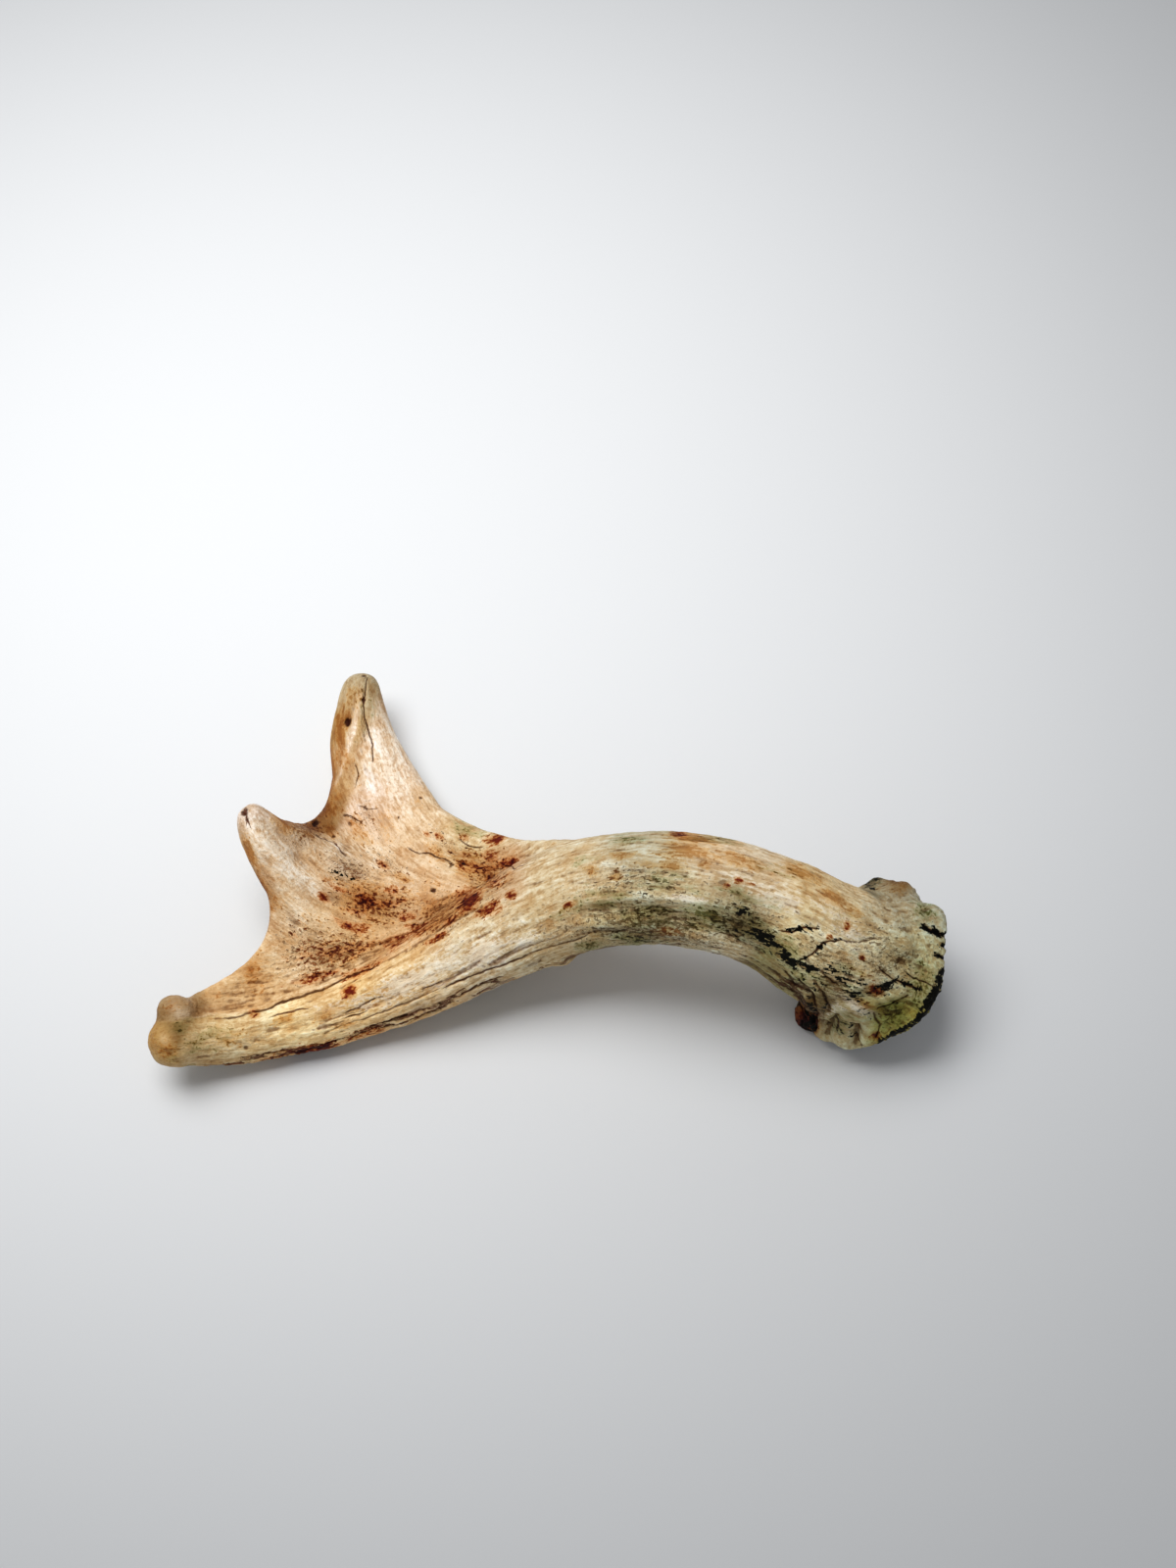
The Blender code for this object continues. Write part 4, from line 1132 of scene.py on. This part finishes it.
def weathered_bone():
    """The whole antler's finish: its colour, its roughness and how its surface rises."""
    grain_group, stain_group, line_group = lengthwise_noise(), ragged_stain(), thin_line()
    tree, takes, gives = new_group(
        "Weathered bone",
        [("Tone", COLOUR, None), ("Place", VECTOR, None)]
        + [(label(name), VECTOR, None) for name in GROWTH]
        + [(label(name), NUMBER, 0.0) for name in AMOUNTS],
        [("Colour", COLOUR), ("Roughness", NUMBER), ("Rise", NUMBER)])
    grown = {label(name): takes[label(name)] for name in GROWTH}
    amount = {name: takes[label(name)] for name in AMOUNTS}
    colour = takes["Tone"]

    def stain(kind, broken, raggedness, level, softness):
        return add(tree, "ShaderNodeGroup", {
            "Amount": amount[kind], "Break": broken, "Raggedness": raggedness, "Level": level,
            "Softness": softness}, node_tree=stain_group).outputs["Mask"]

    def times(*values, clamp=False):
        return maths(tree, "MULTIPLY", *values, clamp=clamp)

    def lay(mask, strength, tint, blend_type="MULTIPLY"):
        nonlocal colour
        colour = mixed(tree, times(mask, strength), colour, tint, blend_type)

    noises = {"cloud": add(
        tree, "ShaderNodeTexNoise", {"Vector": takes["Place"], **CLOUD}).outputs[0]}
    for name, (fineness, stretch, detail, roughness) in NOISES.items():
        noises[name] = add(tree, "ShaderNodeGroup", {
            **grown, "Fineness": fineness, "Stretch": stretch, "Detail": detail,
            "Roughness": roughness}, node_tree=grain_group).outputs["Value"]
    ragged, stipple, fibre = (noises[name] for name in ("ragged", "stipple", "fibre"))
    dots = maths(tree, "SUBTRACT", stipple, 0.5)
    dotted = noises["dotted"] = maths(tree, "MULTIPLY_ADD", dots, STIPPLE_SHARE, ragged)
    noises["strands"] = maths(tree, "ADD", fibre, amount["streak"])
    unrubbed = maths(tree, "SUBTRACT", 1.0, amount["polished"], clamp=True)

    for name, start, full, strength, tint, rubs_off in MOTTLING:
        mask = ramp(tree, noises[name], start, full)
        lay(times(mask, unrubbed) if rubs_off else mask, strength, tint)
    bleached = stain("wear", dotted, raggedness=2.4, level=0.45, softness=0.18)
    lay(bleached, 0.50, BLEACHED, "MIX")
    lay(times(ramp(tree, amount["hollow"], *RIDGES), unrubbed), 0.70, PALER)
    for kind, name, raggedness, level, softness, strength, tint in STAIN_LAYERS:
        lay(stain(kind, noises[name], raggedness, level, softness), strength, tint)

    # Dirt and painted shade darken the dips.
    dip_dirt_and_shade = times(ramp(tree, amount["hollow"], *DIPS), unrubbed)
    lay(dip_dirt_and_shade, 0.60, DIP_DIRT_AND_SHADE)
    # Painted shade darkens the wide hollows.
    lay(ramp(tree, amount["shade"], *BASINS), 0.38, BASIN_SHADE)
    # Painted glints: pale flecks of painted highlight on the grit, in the speckled places.
    glints = times(ramp(tree, noises["grit"], *GLINTS), amount["speckle"], clamp=True)
    lay(glints, 1.0, PALER)
    specks = stain("speckle", noises["grit"], raggedness=3.0, level=0.74, softness=0.08)
    lay(specks, 0.50, SPECKS)
    pores = stain("speckle", stipple, raggedness=3.6, level=0.92, softness=0.06)
    browned = ramp(tree, amount["ochre"], *BROWNED)
    lay(pores, 0.80, mixed(tree, browned, OLIVE_PORES, BROWN_PORES))
    soot = stain("soot", dotted, raggedness=3.2, level=0.74, softness=0.07)
    lay(soot, 1.0, SOOT_BLACK, "MIX")
    streaked = maths(tree, "MULTIPLY_ADD", dotted, SEAM_BREAK, amount["seam"])
    opened = times(amount["fissured"], ramp(tree, streaked, *OPENED))
    seam = times(opened, ramp(tree, ragged, *WHOLE), clamp=True)
    lay(seam, 0.92, SEAM_BROWN)
    crack = add(tree, "ShaderNodeGroup", {
        "Side": amount["crack_side"], "Amount": amount["crack"], "Break": ragged},
        node_tree=line_group).outputs["Mask"]
    lay(crack, 0.92, CRACK_BROWN)

    rough = maths(tree, "MULTIPLY_ADD", dip_dirt_and_shade, DIRTY, DRY)
    rough = maths(tree, "MULTIPLY_ADD", maths(tree, "SUBTRACT", ragged, 0.5), UNEVEN, rough)
    rough = maths(tree, "MULTIPLY_ADD", soot, SOOTY, rough)
    rough = maths(tree, "MULTIPLY_ADD", amount["polished"], RUBBED, rough, clamp=True)
    rises = maths(tree, "MULTIPLY_ADD", fibre, FIBRE_RISE, stipple)
    for mask, height in ((pores, PORE_RISE), (crack, CRACK_RISE), (seam, SEAM_RISE)):
        rises = maths(tree, "MULTIPLY_ADD", mask, height, rises)
    for called, value in (("Colour", colour), ("Roughness", rough), ("Rise", rises)):
        tree.links.new(value, gives[called])
    return tree


def bone(name, finish):
    """A slot's bone. Its finish is the same on every piece, so stains run on across the cuts."""
    material = bpy.data.materials.new(name)
    material.use_nodes = True
    tree = material.node_tree
    shader = tree.nodes["Principled BSDF"]
    fields = {"tone": "Color", **dict.fromkeys(GROWTH, "Vector"), **dict.fromkeys(AMOUNTS, "Fac")}
    sockets = {"Place": add(tree, "ShaderNodeTexCoord").outputs["Object"]}
    for field, output in fields.items():
        source = add(tree, "ShaderNodeAttribute", attribute_name=field)
        sockets[label(field)] = source.outputs[output]
    look = add(tree, "ShaderNodeGroup", sockets, node_tree=finish).outputs
    bump = add(tree, "ShaderNodeBump", {
        "Height": look["Rise"], "Strength": BUMP_STRENGTH, "Distance": BUMP_HEIGHT})
    shader.inputs["Specular IOR Level"].default_value = GLOSS
    for socket, source in (
            ("Base Color", look["Colour"]), ("Roughness", look["Roughness"]),
            ("Normal", bump.outputs[0])):
        tree.links.new(source, shader.inputs[socket])
    return material


# ------------------------------------------------------------------ pieces and scene

# Each piece with the node it stands for and the slot it takes its finish from. The tines and
# the beam are cut off in this order, and the palm is what is left.
PIECES = (
    ("upper_tine", "tine_bone"),
    ("middle_tine", "tine_bone"),
    ("lower_tine", "tine_bone"),
    ("beam", "beam_bone"),
    ("palm", "palm_bone"),
)


def make_pieces():
    skin = Skin()
    carve(skin)
    write_fields(skin)
    finish = weathered_bone()
    bones = {slot: bone(slot, finish) for slot in ("beam_bone", "palm_bone", "tine_bone")}
    rest = skin.mesh
    for node, slot in PIECES:
        if node == "palm":
            mesh = rest
        else:
            point, direction = end_cut(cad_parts[node])
            mesh = cut_off(rest, point, direction, False)
            rest = cut_off(rest, point, direction, True)
        keep_normals(mesh)
        mesh.materials.clear()
        mesh.materials.append(bones[slot])
        piece = bpy.data.objects.new(f"{node}_skin", mesh)
        bpy.context.scene.collection.objects.link(piece)
        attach(piece, "root")
        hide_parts(node)


# The table, its light and the room, in metres, watts and degrees.
TABLE_HALF = 3.0
TABLE_COLOUR, TABLE_ROUGHNESS = (0.74, 0.75, 0.76, 1), 0.7
LIGHT_PLACE, LIGHT_AIM = (-0.26, 0.16, 0.80), (-0.10, 0.18, 0)
LIGHT_SIZE, LIGHT_POWER, LIGHT_SPREAD = 0.6, 1.74, 72
ROOM_COLOUR, ROOM_STRENGTH = (0.95, 0.97, 1.0, 1), 0.295


def add_floor():
    half = TABLE_HALF
    mesh = bpy.data.meshes.new("floor")
    mesh.from_pydata([(-half, -half, 0), (half, -half, 0), (half, half, 0), (-half, half, 0)],
                     [], [(0, 1, 2, 3)])
    floor = bpy.data.objects.new("floor", mesh)
    bpy.context.scene.collection.objects.link(floor)
    paper = bpy.data.materials.new("pale table")
    paper.use_nodes = True
    shader = paper.node_tree.nodes["Principled BSDF"]
    shader.inputs["Base Color"].default_value = TABLE_COLOUR
    shader.inputs["Roughness"].default_value = TABLE_ROUGHNESS
    mesh.materials.append(paper)


def add_light():
    """A soft square panel with a grid, aimed at the table: its light fades away from there."""
    light = bpy.data.lights.new("softbox", "AREA")
    light.size = LIGHT_SIZE
    light.energy = LIGHT_POWER
    light.spread = math.radians(LIGHT_SPREAD)
    made = bpy.data.objects.new("softbox", light)
    bpy.context.scene.collection.objects.link(made)
    made.location = Vector(LIGHT_PLACE)
    aim = Vector(LIGHT_AIM) - made.location
    made.rotation_euler = aim.to_track_quat("-Z", "Y").to_euler()


def add_room():
    """Even light from all round."""
    room = bpy.data.worlds.new("room")
    bpy.context.scene.world = room
    room.use_nodes = True
    background = room.node_tree.nodes["Background"].inputs
    background["Color"].default_value = ROOM_COLOUR
    background["Strength"].default_value = ROOM_STRENGTH
    bpy.context.scene.view_settings.view_transform = "Standard"


# The camera: what it is aimed at and how far off in millimetres, its angle in degrees, its lens.
CAMERA_AIM = np.array([13.1, 30.1, 19.6])
CAMERA_DISTANCE = 755.6
CAMERA_ELEVATION = 60
CAMERA_LENS, CAMERA_WIDTH = 50, 36


def add_camera():
    tilt = math.radians(CAMERA_ELEVATION)
    data = bpy.data.cameras.new("camera")
    data.lens, data.sensor_width = CAMERA_LENS, CAMERA_WIDTH
    camera = bpy.data.objects.new("camera", data)
    bpy.context.scene.collection.objects.link(camera)
    back = np.array([0, -math.cos(tilt), math.sin(tilt)])
    camera.location = Vector((CAMERA_AIM + FOOT + back * CAMERA_DISTANCE) * MM)
    camera.rotation_euler = (math.radians(90) - tilt, 0, 0)
    bpy.context.scene.camera = camera


add_camera()
add_floor()
add_light()
add_room()
make_pieces()
